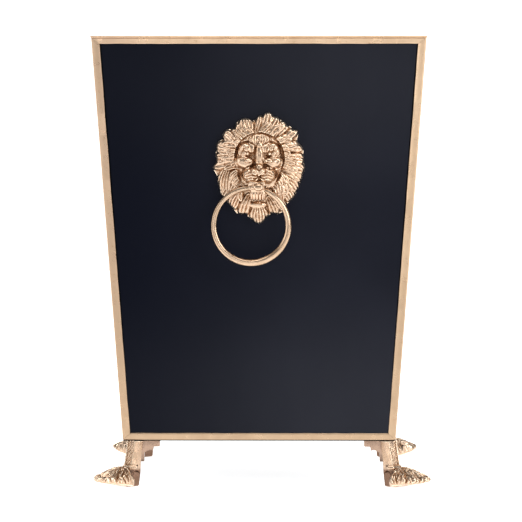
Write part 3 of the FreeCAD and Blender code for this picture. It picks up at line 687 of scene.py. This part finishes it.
def mane_height(x, y, share):
    """The mane: a flat dome that carries four rows of tufts, each row lying over the roots of the next
    one out, and sunk inside two ovals where the face and the muzzle stand."""
    body = 2.4 + 6.4 * np.sqrt(np.clip(1 - share ** 2.2, 0, 1))
    high = body - 2.2
    rng = np.random.default_rng(11)
    outer = [((-8, 29), (-13, 45.2), 7.6, 0.05, 5), ((-2.5, 33), (0.5, 47.6), 3.6, -0.05, 3),
             ((4, 34), (8.5, 51), 5.6, -0.10, 4), ((9, 31), (17.5, 46.6), 4.8, 0.05, 4),
             ((15, 28), (26.5, 41), 5.2, 0.08, 4), ((22, 22), (36, 35), 4.6, 0.12, 3),
             ((24, 17), (40.5, 18), 5.6, 0.18, 4), ((26, 8), (42, 6), 5.2, 0.2, 4),
             ((25, 2), (42.6, -4.5), 5.0, 0.2, 4),
             ((26, -4), (39.6, -12), 5.4, 0.16, 3), ((23, -9), (36, -22.5), 5.2, 0.16, 4),
             ((19, -15), (30.5, -31), 5.8, 0.12, 5), ((13, -25), (24, -39.5), 5.0, 0.1, 4),
             ((9, -28), (15, -44), 5.0, 0.1, 4), ((-9, -26), (-15, -45), 5.6, -0.1, 4),
             ((-17, -22), (-25, -38.5), 5.6, -0.16, 5), ((-24, -17), (-33, -29), 5.0, -0.12, 4),
             ((-31, -3), (-34.5, -25), 4.8, -0.20, 4), ((-25, -3), (-26.5, -23), 4.6, -0.12, 4),
             ((-27, 3), (-42.4, 0), 5.0, -0.12, 3), ((-26, 9), (-40, 8), 5.0, -0.12, 4),
             ((-25, 15), (-39.6, 18.6), 6.0, -0.12, 4), ((-21, 21), (-33.4, 31.5), 5.8, -0.1, 4),
             ((-15, 26), (-23.5, 38.6), 5.0, -0.06, 4), ((-0.5, -36), (1.0, -53), 9.5, 0.0, 7)]
    for root, tip, half, bend, strands in outer:
        high = np.maximum(high, tuft(x, y, root, tip, half, bend, strands - 1, body, 2.3))
    # Each row: how many tufts, where it starts, its roots and tips as shares of the way out, and their size.
    rows = ((22, 0.2, 0.56, 0.86, 4.4, 2.0), (20, 0.0, 0.50, 0.74, 3.9, 2.0), (18, 0.35, 0.46, 0.66, 3.0, 1.8))
    for row, (count, start, root_at, tip_at, half, proud) in enumerate(rows):
        for k in range(count):
            turn = 2 * np.pi * (k + start + rng.uniform(-0.16, 0.16)) / count
            turn_out = turn + rng.uniform(-0.10, 0.10) - 0.16 * math.copysign(1.0, math.cos(turn))
            root_at_k, tip_at_k = root_at, tip_at + rng.uniform(-0.04, 0.04)
            if math.sin(turn) < -0.80 or (row == 0 and math.cos(turn) < -0.6 and math.sin(turn) < -0.05):
                continue
            reach = rim_distance(turn)
            root = reach * root_at_k * np.array([math.cos(turn), math.sin(turn)])
            tip = reach * tip_at_k * np.array([math.cos(turn_out), math.sin(turn_out)])
            side = 1.0 if math.cos(turn) > 0 else -1.0
            bend = side * rng.uniform(0.10, 0.42)
            lock = tuft(x, y, root, tip, half, bend, 2 + (k + row) % 2, body + 0.5 + 0.45 * row, proud)
            high = np.maximum(high, lock)
    face_oval = ((x - 0.6) / 22.5) ** 2 + ((y - 9.0) / 22.8) ** 2
    muzzle_oval = ((x - 0.6) / 19.5) ** 2 + ((y + 5.5) / 12.0) ** 2
    within = np.minimum(face_oval, muzzle_oval)
    return high - 6.0 * np.clip((1.06 - within) / 0.16, 0, 1)


def face_height(x, y):
    """The face: a low dome under smaller ones for the forehead, the knotted brows, bridge, cheeks,
    muzzle, nose and chin, each with a crisp foot, and then chased lines cut in."""
    high = 5.4 + 6.2 * dome(x, y, (0.6, 5), (25.0, 31.0))
    high += 1.8 * dome(x, y, (0.4, 25.6), (10.6, 6.6)) ** 0.8
    high += 3.8 * dome(x, y, (1.0, 9.0), (4.4, 15.5)) ** 0.9
    for side, at in ((-1, -13.4), (1, 13.2)):
        high -= 1.4 * swell(x, y, (at, 14.5), (8.0, 6.0))
        high += 3.0 * dome(x, y, (at + 0.2, 15.6), (6.4, 6.6)) ** 0.9
        lumps = ((-2.6, 1.6, 2.6), (2.4, 2.2, 2.4), (0.4, -2.8, 2.8), (-3.4, -2.4, 1.8))
        for k, (dx, dy, wide) in enumerate(lumps):
            high += 1.5 * dome(x, y, (at + dx * side, 15.4 + dy), (wide, 0.8 * wide), 30 * k) ** 0.8
        high += 1.4 * dome(x, y, (at, 20.4), (6.6, 2.2), -14 * side)
        high += 3.4 * dome(x, y, (6.4 * side, 17.6), (3.6, 4.4)) ** 0.9
        high += 4.0 * dome(x, y, (at + 0.6 * side, 5.2), (9.4, 6.0), 5 * side) ** 0.85
        high += 2.2 * dome(x, y, (9.0 * side, 7.2), (3.8, 2.3), -8 * side) ** 0.8
        high += 1.2 * dome(x, y, (5.6 * side, 7.0), (1.4, 3.4), 20 * side)
        high -= 3.2 * swell(x, y, (19.0 * side, -5.5), (3.8, 6.5), 14 * side)
        high += 8.6 * dome(x, y, (7.5 * side + 0.4, -5.9), (8.3, 7.3)) ** 0.8
    high += 4.6 * dome(x, y, (-0.4, -1.4), (6.8, 5.2)) ** 0.8
    high += 5.6 * dome(x, y, (-0.8, -34.0), (9.0, 4.2)) ** 0.7
    high += 4.5 * dome(x, y, (0.9, -11.6), (4.4, 3.4))
    high -= 3.0 * np.clip((np.hypot(x / 24.0, (y - 5) / 30.0) - 0.86) / 0.14, 0, 1)
    for side, at in ((-1, -13.4), (1, 13.2)):
        socket = [(20.4 * side, 4.0), (20.6 * side, 12.0), (19.0 * side, 19.6), (14.4 * side, 23.4),
                  (8.4 * side, 23.6), (3.8 * side, 20.8)]
        high -= groove(x, y, socket, 0.8, 1.5 if side < 0 else 1.0)
        under = [(19.8 * side, 9.6), (14.0 * side, 10.0), (8.6 * side, 10.8), (5.6 * side, 11.6)]
        high -= groove(x, y, under, 0.7, 1.3)
        bag = [(20.6 * side, 4.4), (18.0 * side, 0.6), (12.6 * side, -0.9), (7.6 * side, 0.6),
               (4.4 * side, 4.4)]
        high -= groove(x, y, bag, 0.8, 1.5)
        high -= groove(x, y, [(3.2 * side, 19.0), (4.4 * side, 12.0), (4.2 * side, 4.0)], 0.7, 1.0)
        wing = [(9.2 * side + 1.0, -1.4), (8.0 * side + 1.0, 1.6), (5.0 * side + 1.0, 3.2)]
        high -= groove(x, y, wing, 0.8, 1.8)
        for k in range(3):
            down = -2.8 * k
            stroke = [(2.6 * side + 0.4, -4.2 + down), (7.0 * side + 0.4, -2.8 + down),
                      (12.6 * side + 0.4, -5.0 + down)]
            high -= groove(x, y, stroke, 0.55, 1.0)
    high -= groove(x, y, [(1.2, -6.0), (1.6, -9.0), (1.4, -12.5)], 0.8, 1.0)
    high -= groove(x, y, [(-10.4, 21.5), (-9.2, 27.4), (-4, 31.0), (4, 31.2), (10, 28.2), (11, 22)], 0.8, 1.5)
    high -= 1.2 * swell(x, y, (0.0, 26.2), (1.0, 1.0))
    for k in (-3, -2, -1, 1, 2, 3):
        high -= groove(x, y, [(1.9 * k, 22.5), (2.5 * k, 26.0), (2.0 * k, 29.5)], 0.5, 0.7)
    high -= groove(x, y, [(-9.5, -30.4), (-4, -31.2), (2, -31.2), (7.8, -30.2)], 0.9, 2.2)
    high -= groove(x, y, [(-10.5, -33.5), (-8, -38.2), (-1, -39.0), (6.0, -38.0), (8.6, -33.5)], 0.8, 1.2)
    return high


def swing_ceiling(x, y):
    """How high the casting may stand and still clear the ring as it swings. At each place across, the
    upper part of the ring is a rod at some drop below its axis; the ceiling is the lowest underside of
    that rod over the swing."""
    ahead = np.clip(np.abs(x + RING_SLIDE), 0, 0.9 * RING_RADIUS)
    level = np.sqrt(RING_RADIUS ** 2 - ahead ** 2)
    drop = RING_DROP - level
    room = (RING_ROD_TOP + 0.25 * (ahead / RING_RADIUS) ** 2 + 0.55)
    tall = room * RING_RADIUS / level
    ceiling = np.full(x.shape, 1e3)
    for swung in np.radians(np.linspace(*RING_SWING, 40)) + MASK_LEAN:
        dy = y - PIVOT_UP + drop * np.cos(swung)
        inside = 1 - (dy / tall) ** 2
        under = PIVOT_OUT + drop * np.sin(swung) - room * np.sqrt(np.clip(inside, 0, 1))
        ceiling = np.where(inside > 0, np.minimum(ceiling, under), ceiling)
    return np.where(np.abs(x + RING_SLIDE) < 0.9 * RING_RADIUS, ceiling, 1e3)


def mask_relief(count=262):
    """The casting's front as a closed shell: the higher of mane and face, kept under the ring's swing,
    rolled down at the rim to a short edge, with a flat back."""
    x, y, share = disc_grid(count)
    mane = mane_height(x, y, share)
    face = face_height(x, y)
    height = over(mane, face, 0.5)
    rng = np.random.default_rng(5)
    for k in range(26):
        way = rng.uniform(0, 2 * np.pi)
        wave = rng.uniform(0.6, 1.9)
        height = height + 0.035 * np.sin(wave * (x * np.cos(way) + y * np.sin(way)) + rng.uniform(0, 6.28))
    edge = (1 - share) * rim_distance(np.arctan2(y, x))
    roll = np.sqrt(np.clip(1 - (1 - np.clip(edge / 2.4, 0, 1)) ** 2, 0, 1))
    height = 1.0 + (np.clip(height, 2.0, 22.3) - 1.0) * (0.12 + 0.88 * roll)
    ceiling = swing_ceiling(x, y)
    height = np.minimum(height, np.clip(ceiling, 2.0, 1e3))
    front = np.stack([x, y, height], axis=-1).reshape(-1, 3)
    index = np.arange(count * count).reshape(count, count)
    loop = np.concatenate([index[0, :-1], index[:-1, -1], index[-1, :0:-1], index[:0:-1, 0]])
    wall = front[loop] * (0.995, 0.995, 0.0) + (0, 0, 0.05)
    n = len(front)
    ring = n + np.arange(len(loop))
    ring_on, loop_on = np.roll(ring, -1), np.roll(loop, -1)
    sides = np.stack([loop, ring, ring_on, loop_on], axis=-1)
    middle = n + len(loop)
    back = np.stack([ring, np.full(len(loop), middle), ring_on, ring_on], axis=-1)
    verts = np.vstack([front, wall, [(0, 0, 0.05)]])
    return verts, np.vstack([quad_grid(count, count, False, False), sides, back])


def jaw_bridge():
    """The jaw in front of the ring: a half hoop about the ring's axis. Rows go round the axis from the
    muzzle to the chin; columns go across the front, which carries the lip, the tongue's tip and the
    teeth, and back inside."""
    inside = 5.15
    turn = np.radians(np.linspace(-32, 212, 110))[:, None]
    up = np.degrees(turn)
    stops = [-32, 30, 56, 70, 88, 100, 112, 122, 150, 164, 172, 212]
    left = np.interp(up, stops, [-9.0, -9.4, -9.8, -9.6, -9.2, -7.6, -7.2, -8.2, -8.6, -8.0, -7.6, -7.6])
    right = np.interp(up, stops, [6.0, 6.4, 6.4, 5.6, 5.2, 5.0, 5.4, 6.3, 6.4, 6.2, 6.0, 6.0])
    across = np.linspace(-1, 1, 96)[None, :]
    x = 0.5 * (left + right) + 0.5 * (right - left) * across
    front = np.interp(up, [-32, 0, 24, 44, 56, 62, 78, 92, 104, 112, 120, 142, 158, 166, 170, 175, 182, 212],
                      [9.5, 9.2, 9.0, 9.0, 8.6, 7.6, 7.8, 7.6, 6.9, 6.9, 8.3, 9.6, 10.8, 11.3, 10.8, 9.2, 9.6,
                       10.6])
    front = front + 0 * x
    front = front + 3.3 * dome(x, up / 7.0, (-0.2, 76 / 7.0), (4.2, 2.9)) ** 0.6
    lip = np.interp(up, [14, 34, 48, 60], [0, 0.8, 1.1, 0])
    front = front + lip * np.clip(np.abs(x + 0.3) / 3.0, 0.1, 1)
    for side in (-1, 1):
        front = front + 1.2 * dome(x, up / 7.0, (4.6 * side - 0.6, 74 / 7.0), (2.0, 2.4))
    bite = np.clip((up - 112) / 8, 0, 1) * np.clip((165 - up) / 4, 0, 1)
    teeth = sum(high * np.sqrt(np.clip(1 - ((x - at) / half) ** 2, 0, 1))
                for at, half, high in ((-6.8, 1.1, 0.8), (-4.3, 1.3, 1.0), (-1.6, 1.3, 1.1), (1.2, 1.35, 1.8),
                                       (3.8, 1.15, 1.6), (5.6, 0.7, 0.8)))
    front = front + bite * (teeth - 1.0)
    round_end = np.sqrt(np.clip(1 - (np.clip(np.abs(across) - 0.72, 0, 1) / 0.28) ** 2, 0.0, 1))
    outer = inside + 0.4 + (front - inside - 0.4) * (0.2 + 0.8 * round_end)
    back_x = np.linspace(0.97, -0.97, 24)[None, :] * 0.5 * (right - left) + 0.5 * (left + right)
    reach = np.concatenate([outer, inside + 0 * back_x], axis=1)
    place = np.concatenate([x, back_x], axis=1)
    y = PIVOT_UP + reach * np.cos(turn)
    z = PIVOT_OUT + reach * np.sin(turn)
    return shell(np.stack([place, y, z], axis=-1))


def on_front_panel(verts):
    """Points in the mask's own frame, put on the leaning front panel."""
    across = verts[:, :1] * np.array([1.0, 0, 0])
    return MASK_MIDDLE + across + verts[:, 1:2] * panel_up + verts[:, 2:] * panel_out


chased_brass = cast_brass_material("chased_brass", (0.62, 0.445, 0.32), (0.48, 0.33, 0.22),
                                   0.17, 0.34, 1100.0)
relief, bridge = mask_relief(), jaw_bridge()
for i, end in ((0, "front"), (2, "rear")):
    shells = [(quarter_turn(on_front_panel(verts), i), faces) for verts, faces in (relief, bridge)]
    make_piece("lion_mask_" + end + "_brass", shells, chased_brass, "bin",
               "lion_mask_" + end, hollows=(14, 0.0009))


# ==== The paw feet ==================================================================================
# Four brass castings, each a lion's paw turned out at 45 degrees below a short leg, with a wing under each
# edge of the box. Screws come down into the wings through the bottom pan. The fur is chased, and the
# front of each leg is a matted channel between two burnished ridges.

FOOT_TOP = BASE_Z - HEM
# The leg at five heights: height, middle along the diagonal, half its depth and half its width.
LEG_PLACES = np.array([(43.0, -11.3, 4.4, 8.1), (32.8, -9.9, 4.4, 8.1), (22.5, -8.2, 4.9, 7.8),
                       (12.3, -6.6, 6.6, 7.3), (0.0, -4.6, 6.8, 6.9)])[::-1]


def leg_points():
    """The leg, in the foot's own frame: outward, across, up. Level sections with two wide flats that face
    the front and the side of the box, eased between five heights. Between the flats runs a sunk channel
    with short strokes; a cuff crosses the leg above the paw, and the heel below it is unchased, with a
    rounded foot."""
    z = np.concatenate([[0.02, 0.25, 0.6], np.linspace(1.0, FOOT_TOP - 0.4, 130), [FOOT_TOP]])[:, None]
    middle, along, wide = (np.interp(z, LEG_PLACES[:, 0], LEG_PLACES[:, k]) for k in (1, 2, 3))
    flats = rounded_profile([(1, -0.63), (1, 0.63), (0.32, 1), (-1, 1), (-1, -1), (0.32, -1)],
                            [0.07, 0.07, 0.1, 0.3, 0.3, 0.1])
    flats = np.vstack([flats, flats[:1]])
    run = np.concatenate([[0], np.cumsum(np.linalg.norm(np.diff(flats, axis=0), axis=1))])
    stops = np.linspace(0, run[-1], 150, endpoint=False)
    along_share, side = (np.interp(stops, run, flats[:, k])[None, :] for k in (0, 1))
    u, v = along * along_share, wide * side
    upper = np.clip((z - 19.0) / 1.2, 0, 1)
    channel = np.clip((0.58 - np.abs(side)) / 0.07, 0, 1) * np.clip((along_share - 0.9) / 0.1, 0, 1)
    strokes = 0.5 * np.sin(4.2 * v + 1.6 * np.sin(0.9 * z)) * np.sin(2.3 * z + 2.1 * v)
    strokes = strokes + 0.2 * np.sin(5 * z - 3 * v)
    u = u + upper * channel * (strokes - 1.5)
    cuff = 1.3 * np.exp(-((z - 17.9) / 1.5) ** 4) * np.clip(along_share * 2.5 + 0.6, 0, 1)
    arch = -0.8 * np.exp(-((z - 14.6 + 5.0 * (along_share + 0.1) ** 2) / 0.7) ** 2) * (np.abs(side) > 0.9)
    grow = 1 + (cuff + arch) / 8.0
    foot_round = 1 - 0.12 * np.clip(1 - z / 1.0, 0, 1) ** 2
    grow = grow * np.where(z < FOOT_TOP - 0.01, foot_round, 0.94)
    return np.stack([middle + u * grow, v * grow, z + 0 * v], axis=-1)


def paw_points():
    """The paw, as a surface of rays from the ankle: each ray arches over to a blunt, rounded edge and
    back under the sole, which rises towards the toes. The edge is scalloped into seven toes, and chased
    tufts run down the rays."""
    turn = np.linspace(-np.pi, np.pi, 500, endpoint=False)[None, :]
    deg = np.degrees(turn)
    toes = ((-68, 12.5), (-45, 12), (-21, 12), (0, 9), (21, 12), (45, 12), (68, 12.5))
    lobe = np.clip(sum(np.sqrt(np.clip(1 - ((deg - at) / half) ** 2, 0, 1)) for at, half in toes), 0, 1)
    lobe = lobe * np.clip((86 - np.abs(deg)) / 8, 0, 1)
    whole = np.interp(np.abs(deg), [0, 14, 30, 46, 64, 90, 130, 180],
                      [32.2, 31.2, 27.6, 22.8, 18.6, 14.4, 10.6, 9.2])
    reach = whole * (0.88 + 0.12 * lobe)
    down = np.linspace(0, 1, 84)[:, None]
    hub = 1.6
    shoulder = np.interp(np.abs(deg), [0, 40, 75, 110, 180], [10.0, 11.6, 11.8, 10.0, 9.0])
    shoulder = shoulder + 1.8 * (lobe - 0.5)
    sole = np.interp(whole, [10, 15, 20, 33], [0.02, 1.6, 3.4, 6.0])
    arch = np.clip(down / 0.62, 0, 1)
    blunt = 0.14 * reach + 1.0
    r = (reach - blunt) * arch
    z = shoulder + (18.2 - shoulder) * (1 - arch ** 2.2)
    bend = np.clip((down - 0.62) / 0.30, 0, 1) * 2.7
    half = 0.5 * (shoulder - sole)
    r = r + blunt * np.sin(bend) ** 0.8 * (bend > 0)
    z = np.where(down > 0.62, sole + half * (1 + np.cos(bend)), z)
    strand = np.abs(np.sin(19 * turn + 1.3 * np.sin(9 * down + 3 * turn) + 0.7 * np.sin(5 * turn))) ** 0.7
    row = (3.4 * down + 0.45 * np.sin(9 * turn) + 0.3 * np.sin(23 * turn + 1)) % 1.0
    shaped = np.clip(down / 0.2, 0, 1) * np.clip((0.90 - down) / 0.06, 0, 1)
    at_front = np.clip((100 - np.abs(deg)) / 14, 0, 1)
    fur = shaped * (1.5 * (strand - 0.62) + 1.3 * (row ** 1.5 - 0.4)) * at_front
    lean = np.clip(bend / 1.5708 + 0.25, 0, 1)
    r, z = r + fur * lean, z + fur * (1.1 - lean)
    under = np.clip((down - 0.92) / 0.08, 0, 1)
    r = np.clip(r * (1 - 0.97 * under), 0.3, None)
    least = np.interp(r, [10, 15, 20, 33], [0.02, 1.0, 2.4, 4.6])
    z = np.where(under > 0, sole * (1 - under) + 0.02 * under, np.maximum(z, least))
    return np.stack([hub + r * np.cos(turn), r * np.sin(turn), z], axis=-1)


def wing_points():
    """A wing under the box's front edge, as a bar of round-edged square section along the edge. Its
    underside curves up from the leg in a quarter circle, passes a small bead and a step, and runs on
    level."""
    curve, start, inset, thick, step = 11.4, 13.2, 5.0, 6.0, 2.8
    long, wide, soft = 31.5, 12.0, 0.9
    places = [[inset, inset + 0.4], np.linspace(9.8, start, 6), np.linspace(start, 23.8, 26),
              np.linspace(24.0, 26.6, 22), np.linspace(26.8, long - soft, 8),
              long - soft * (1 - np.sin(np.linspace(0, 1.45, 6)))]
    along = np.unique(np.concatenate(places))[:, None]
    low = FOOT_TOP - thick
    turn_top = low - step
    arc = turn_top - curve + np.sqrt(np.clip(curve ** 2 - (start + curve - along) ** 2, 0, None))
    under = np.where(along < start, turn_top - curve + np.clip(9.75 - along, 0, 5) * 2.5, arc)
    under = np.where(along > start + curve, turn_top, under)
    under = under + step * np.clip((along - 25.3) / 0.5, 0, 1) - 0.9 * np.exp(-((along - 24.9) / 0.8) ** 2)
    close = np.clip((along - (long - soft)) / soft, 0, 1)
    draw_in = soft * (1 - np.sqrt(np.clip(1 - close ** 2, 0, 1)))
    angle = np.linspace(0, 0.5 * np.pi, 5)
    corners = []
    for quarter, (sy, sz) in enumerate(((1, 1), (-1, 1), (-1, -1), (1, -1))):
        a = angle + quarter * 0.5 * np.pi
        easing = soft if sz < 0 else 0.25
        y = 0.5 * wide + sy * (0.5 * wide - easing - draw_in) + easing * np.cos(a)[None, :]
        edge = FOOT_TOP - easing if sz > 0 else under + easing + draw_in
        corners.append(np.stack([along + 0 * y, y, edge + easing * np.sin(a)[None, :] + 0 * y], axis=-1))
    points = np.concatenate(corners, axis=1)
    hand = 0.06 * np.sin(1.1 * points[..., 0] + 0.7) + 0.05 * np.sin(2.3 * points[..., 0] + points[..., 1])
    points[..., 1] += hand * (points[..., 2] < FOOT_TOP - 0.5)
    return points + (-CORNER_HALF, -CORNER_HALF + inset, 0.0)


def foot_shells():
    """One foot's closed surfaces in the box's frame, under the front left corner: leg, paw, and the wing
    with its mirror image across the diagonal."""
    out_way, across_way = (np.array(way) * math.sqrt(0.5) for way in ((-1, -1, 0), (1, -1, 0)))
    shells = []
    for points in (leg_points(), paw_points()):
        verts, faces = shell(points)
        # Painted shade for the leg below the cuff, to darken its bright reflections; the paw takes none.
        heel = np.clip((17.0 - verts[:, 2]) / 2.0, 0, 1) * (len(shells) == 0)
        verts = verts[:, :1] * out_way + verts[:, 1:2] * across_way + verts[:, 2:] * (0, 0, 1)
        shells.append((verts + (-CORNER_HALF, -CORNER_HALF, 0.0), faces, heel))
    verts, faces = shell(wing_points())
    # The wings take painted shade in full, to darken their bright reflections.
    shells += [(verts, faces, np.ones(len(verts))), (verts[:, [1, 0, 2]], faces, np.ones(len(verts)))]
    return shells


foot = foot_shells()
for i, corner in enumerate(CORNERS):
    shells = [(quarter_turn(verts, i) - (BOX_MIDDLE, 0.0, 0.0), faces, share) for verts, faces, share in foot]
    make_piece("paw_foot_" + corner + "_brass", shells, chased_brass, "bin",
               "paw_foot_" + corner, hollows=(10, 0.0006))


# ==== The fixings ===================================================================================
# Plated steel. Two studs with washers and nuts hold each mask from inside the bin, and two screws with
# washers hold each foot from inside the bottom. They are stock parts, dull grey with cloudy spangle and spots
# of rust.

def plated_steel_material():
    """Zinc-plated steel: cool grey with cloudy spangle, brown spots of rust, and fine turning marks."""
    material, tree, shader = start_material("plated_steel", (0.50, 0.51, 0.52), 1.0, 0.35)
    place = object_place(tree)
    spangle = ramp(tree, noise(tree, place, 420.0, 4.0, 0.6), 0.3, 0.7)
    colour = blend_colours(tree, spangle, (0.56, 0.57, 0.58), (0.38, 0.38, 0.39))
    rust = ramp(tree, noise(tree, place, 210.0, 4.0, 0.7), 0.60, 0.72, 0.0, 0.7)
    colour = blend_colours(tree, rust, colour, (0.16, 0.085, 0.045))
    tree.links.new(colour, shader.inputs["Base Color"])
    matt = ramp(tree, noise(tree, place, 300.0, 3.0), 0.3, 0.7, 0.3, 0.55)
    tree.links.new(matt, shader.inputs["Roughness"])
    turned = noise(tree, object_place(tree, (1.0, 1.0, 6.0)), 900.0, 3.0)
    raise_bumps(tree, shader, (turned, 0.00004), (noise(tree, place, 260.0, 3.0), 0.00008))
    return material


plated_steel = plated_steel_material()
for name in ("mask_studs_front", "mask_studs_rear", "mask_washers_front", "mask_washers_rear",
             "mask_nuts_front", "mask_nuts_rear", "foot_screws", "foot_washers"):
    nodes[name].data.materials.clear()
    nodes[name].data.materials.append(plated_steel)


# ==== Studio ========================================================================================
# A pale paper floor that curves up into a wall and glows with painted light, strongest under and behind
# the box, to wash out its shadow. Large soft lights hang overhead and at the right, with weaker ones at
# the left, in front and behind. The camera stands a long way back, about level with the lion's face and
# tipped slightly down.

def studio():
    """The floor sweeps back and then up a quarter circle into the wall."""
    bend_start, bend, wall_top = 4.4, 1.6, 5.0
    turn = np.linspace(0, 0.5 * np.pi, 24)
    depth = np.concatenate([[-5.0], np.linspace(0.5, bend_start, 8), bend_start + bend * np.sin(turn),
                            [bend_start + bend]])
    height = np.concatenate([[0.0], np.zeros(8), bend * (1 - np.cos(turn)), [wall_top]])
    x = np.array([-6.0, 6.0])
    grid = np.stack(np.broadcast_arrays(x[None, :], depth[:, None], height[:, None]), axis=-1)
    mesh = bpy.data.meshes.new("studio_floor")
    quads = quad_grid(*grid.shape[:2], False, False)[:, ::-1]
    mesh.from_pydata(grid.reshape(-1, 3).tolist(), [], quads.tolist())
    mesh.shade_smooth()
    material, tree, shader = start_material("studio_paper", (0.90, 0.90, 0.90), 0.0, 0.9,
                                            Emission_Color=(1.0, 1.0, 1.0, 1.0))
    place = object_place(tree)
    paper = blend_colours(tree, noise(tree, place, 300.0, 2.0), (0.89, 0.89, 0.89), (0.93, 0.93, 0.93))
    tree.links.new(paper, shader.inputs["Base Color"])
    # Painted light: the paper glows strongly from just in front of the box back to the wall, washing out the
    # box's shadow, and faintly far in front.
    back_to_front = add_node(tree, "SeparateXYZ", Vector=place).outputs["Y"]
    near = ramp(tree, back_to_front, -0.75, -0.38, 0.03, 0.86)
    far = ramp(tree, back_to_front, -1.5, -3.2, 0.0, 0.27)
    tree.links.new(reckon(tree, "ADD", near, far), shader.inputs["Emission Strength"])
    mesh.materials.append(material)
    floor = bpy.data.objects.new("studio_floor", mesh)
    bpy.context.scene.collection.objects.link(floor)


def soft_light(name, place, target, size, watts):
    """A soft light aimed at a point, of that size across and up."""
    light = bpy.data.lights.new(name, "AREA")
    light.shape = "RECTANGLE"
    light.size, light.size_y = size
    light.energy = watts
    lamp = bpy.data.objects.new(name, light)
    lamp.location = place
    aim = Vector(target) - Vector(place)
    lamp.rotation_euler = aim.to_track_quat("-Z", "Y").to_euler()
    bpy.context.scene.collection.objects.link(lamp)


studio()
soft_light("right_light", (2.1, -1.7, 1.2), (0.0, 0.0, 0.25), (1.4, 1.8), 42.0)
soft_light("left_light", (-2.2, -1.2, 0.8), (0.0, 0.0, 0.2), (1.0, 1.6), 10.0)
soft_light("top_light", (0.2, -0.2, 2.6), (0.0, 0.0, 0.0), (2.4, 2.4), 52.0)
soft_light("front_light", (-0.04, -3.4, 0.52), (0.0, 0.0, 0.2), (1.2, 0.6), 5.4)
soft_light("rear_light", (-1.7, 2.2, 1.3), (0.0, 0.0, 0.2), (1.0, 1.0), 26.0)

world = bpy.data.worlds.new("studio_air")
world.use_nodes = True
world.node_tree.nodes["Background"].inputs["Color"].default_value = (1.0, 1.0, 1.0, 1.0)
world.node_tree.nodes["Background"].inputs["Strength"].default_value = 0.42
bpy.context.scene.world = world
bpy.context.scene.view_settings.view_transform = "Standard"

camera_data = bpy.data.cameras.new("camera")
camera_data.lens = 188.96           # millimetres
camera_data.sensor_width = 36.0
camera = bpy.data.objects.new("camera", camera_data)
camera.location = (0.0294, -2.6365, 0.3096)
tip_down, turned_left = 2.321, 0.688
camera.rotation_euler = (math.radians(90.0 - tip_down), 0.0, math.radians(turned_left))
bpy.context.scene.collection.objects.link(camera)
bpy.context.scene.camera = camera
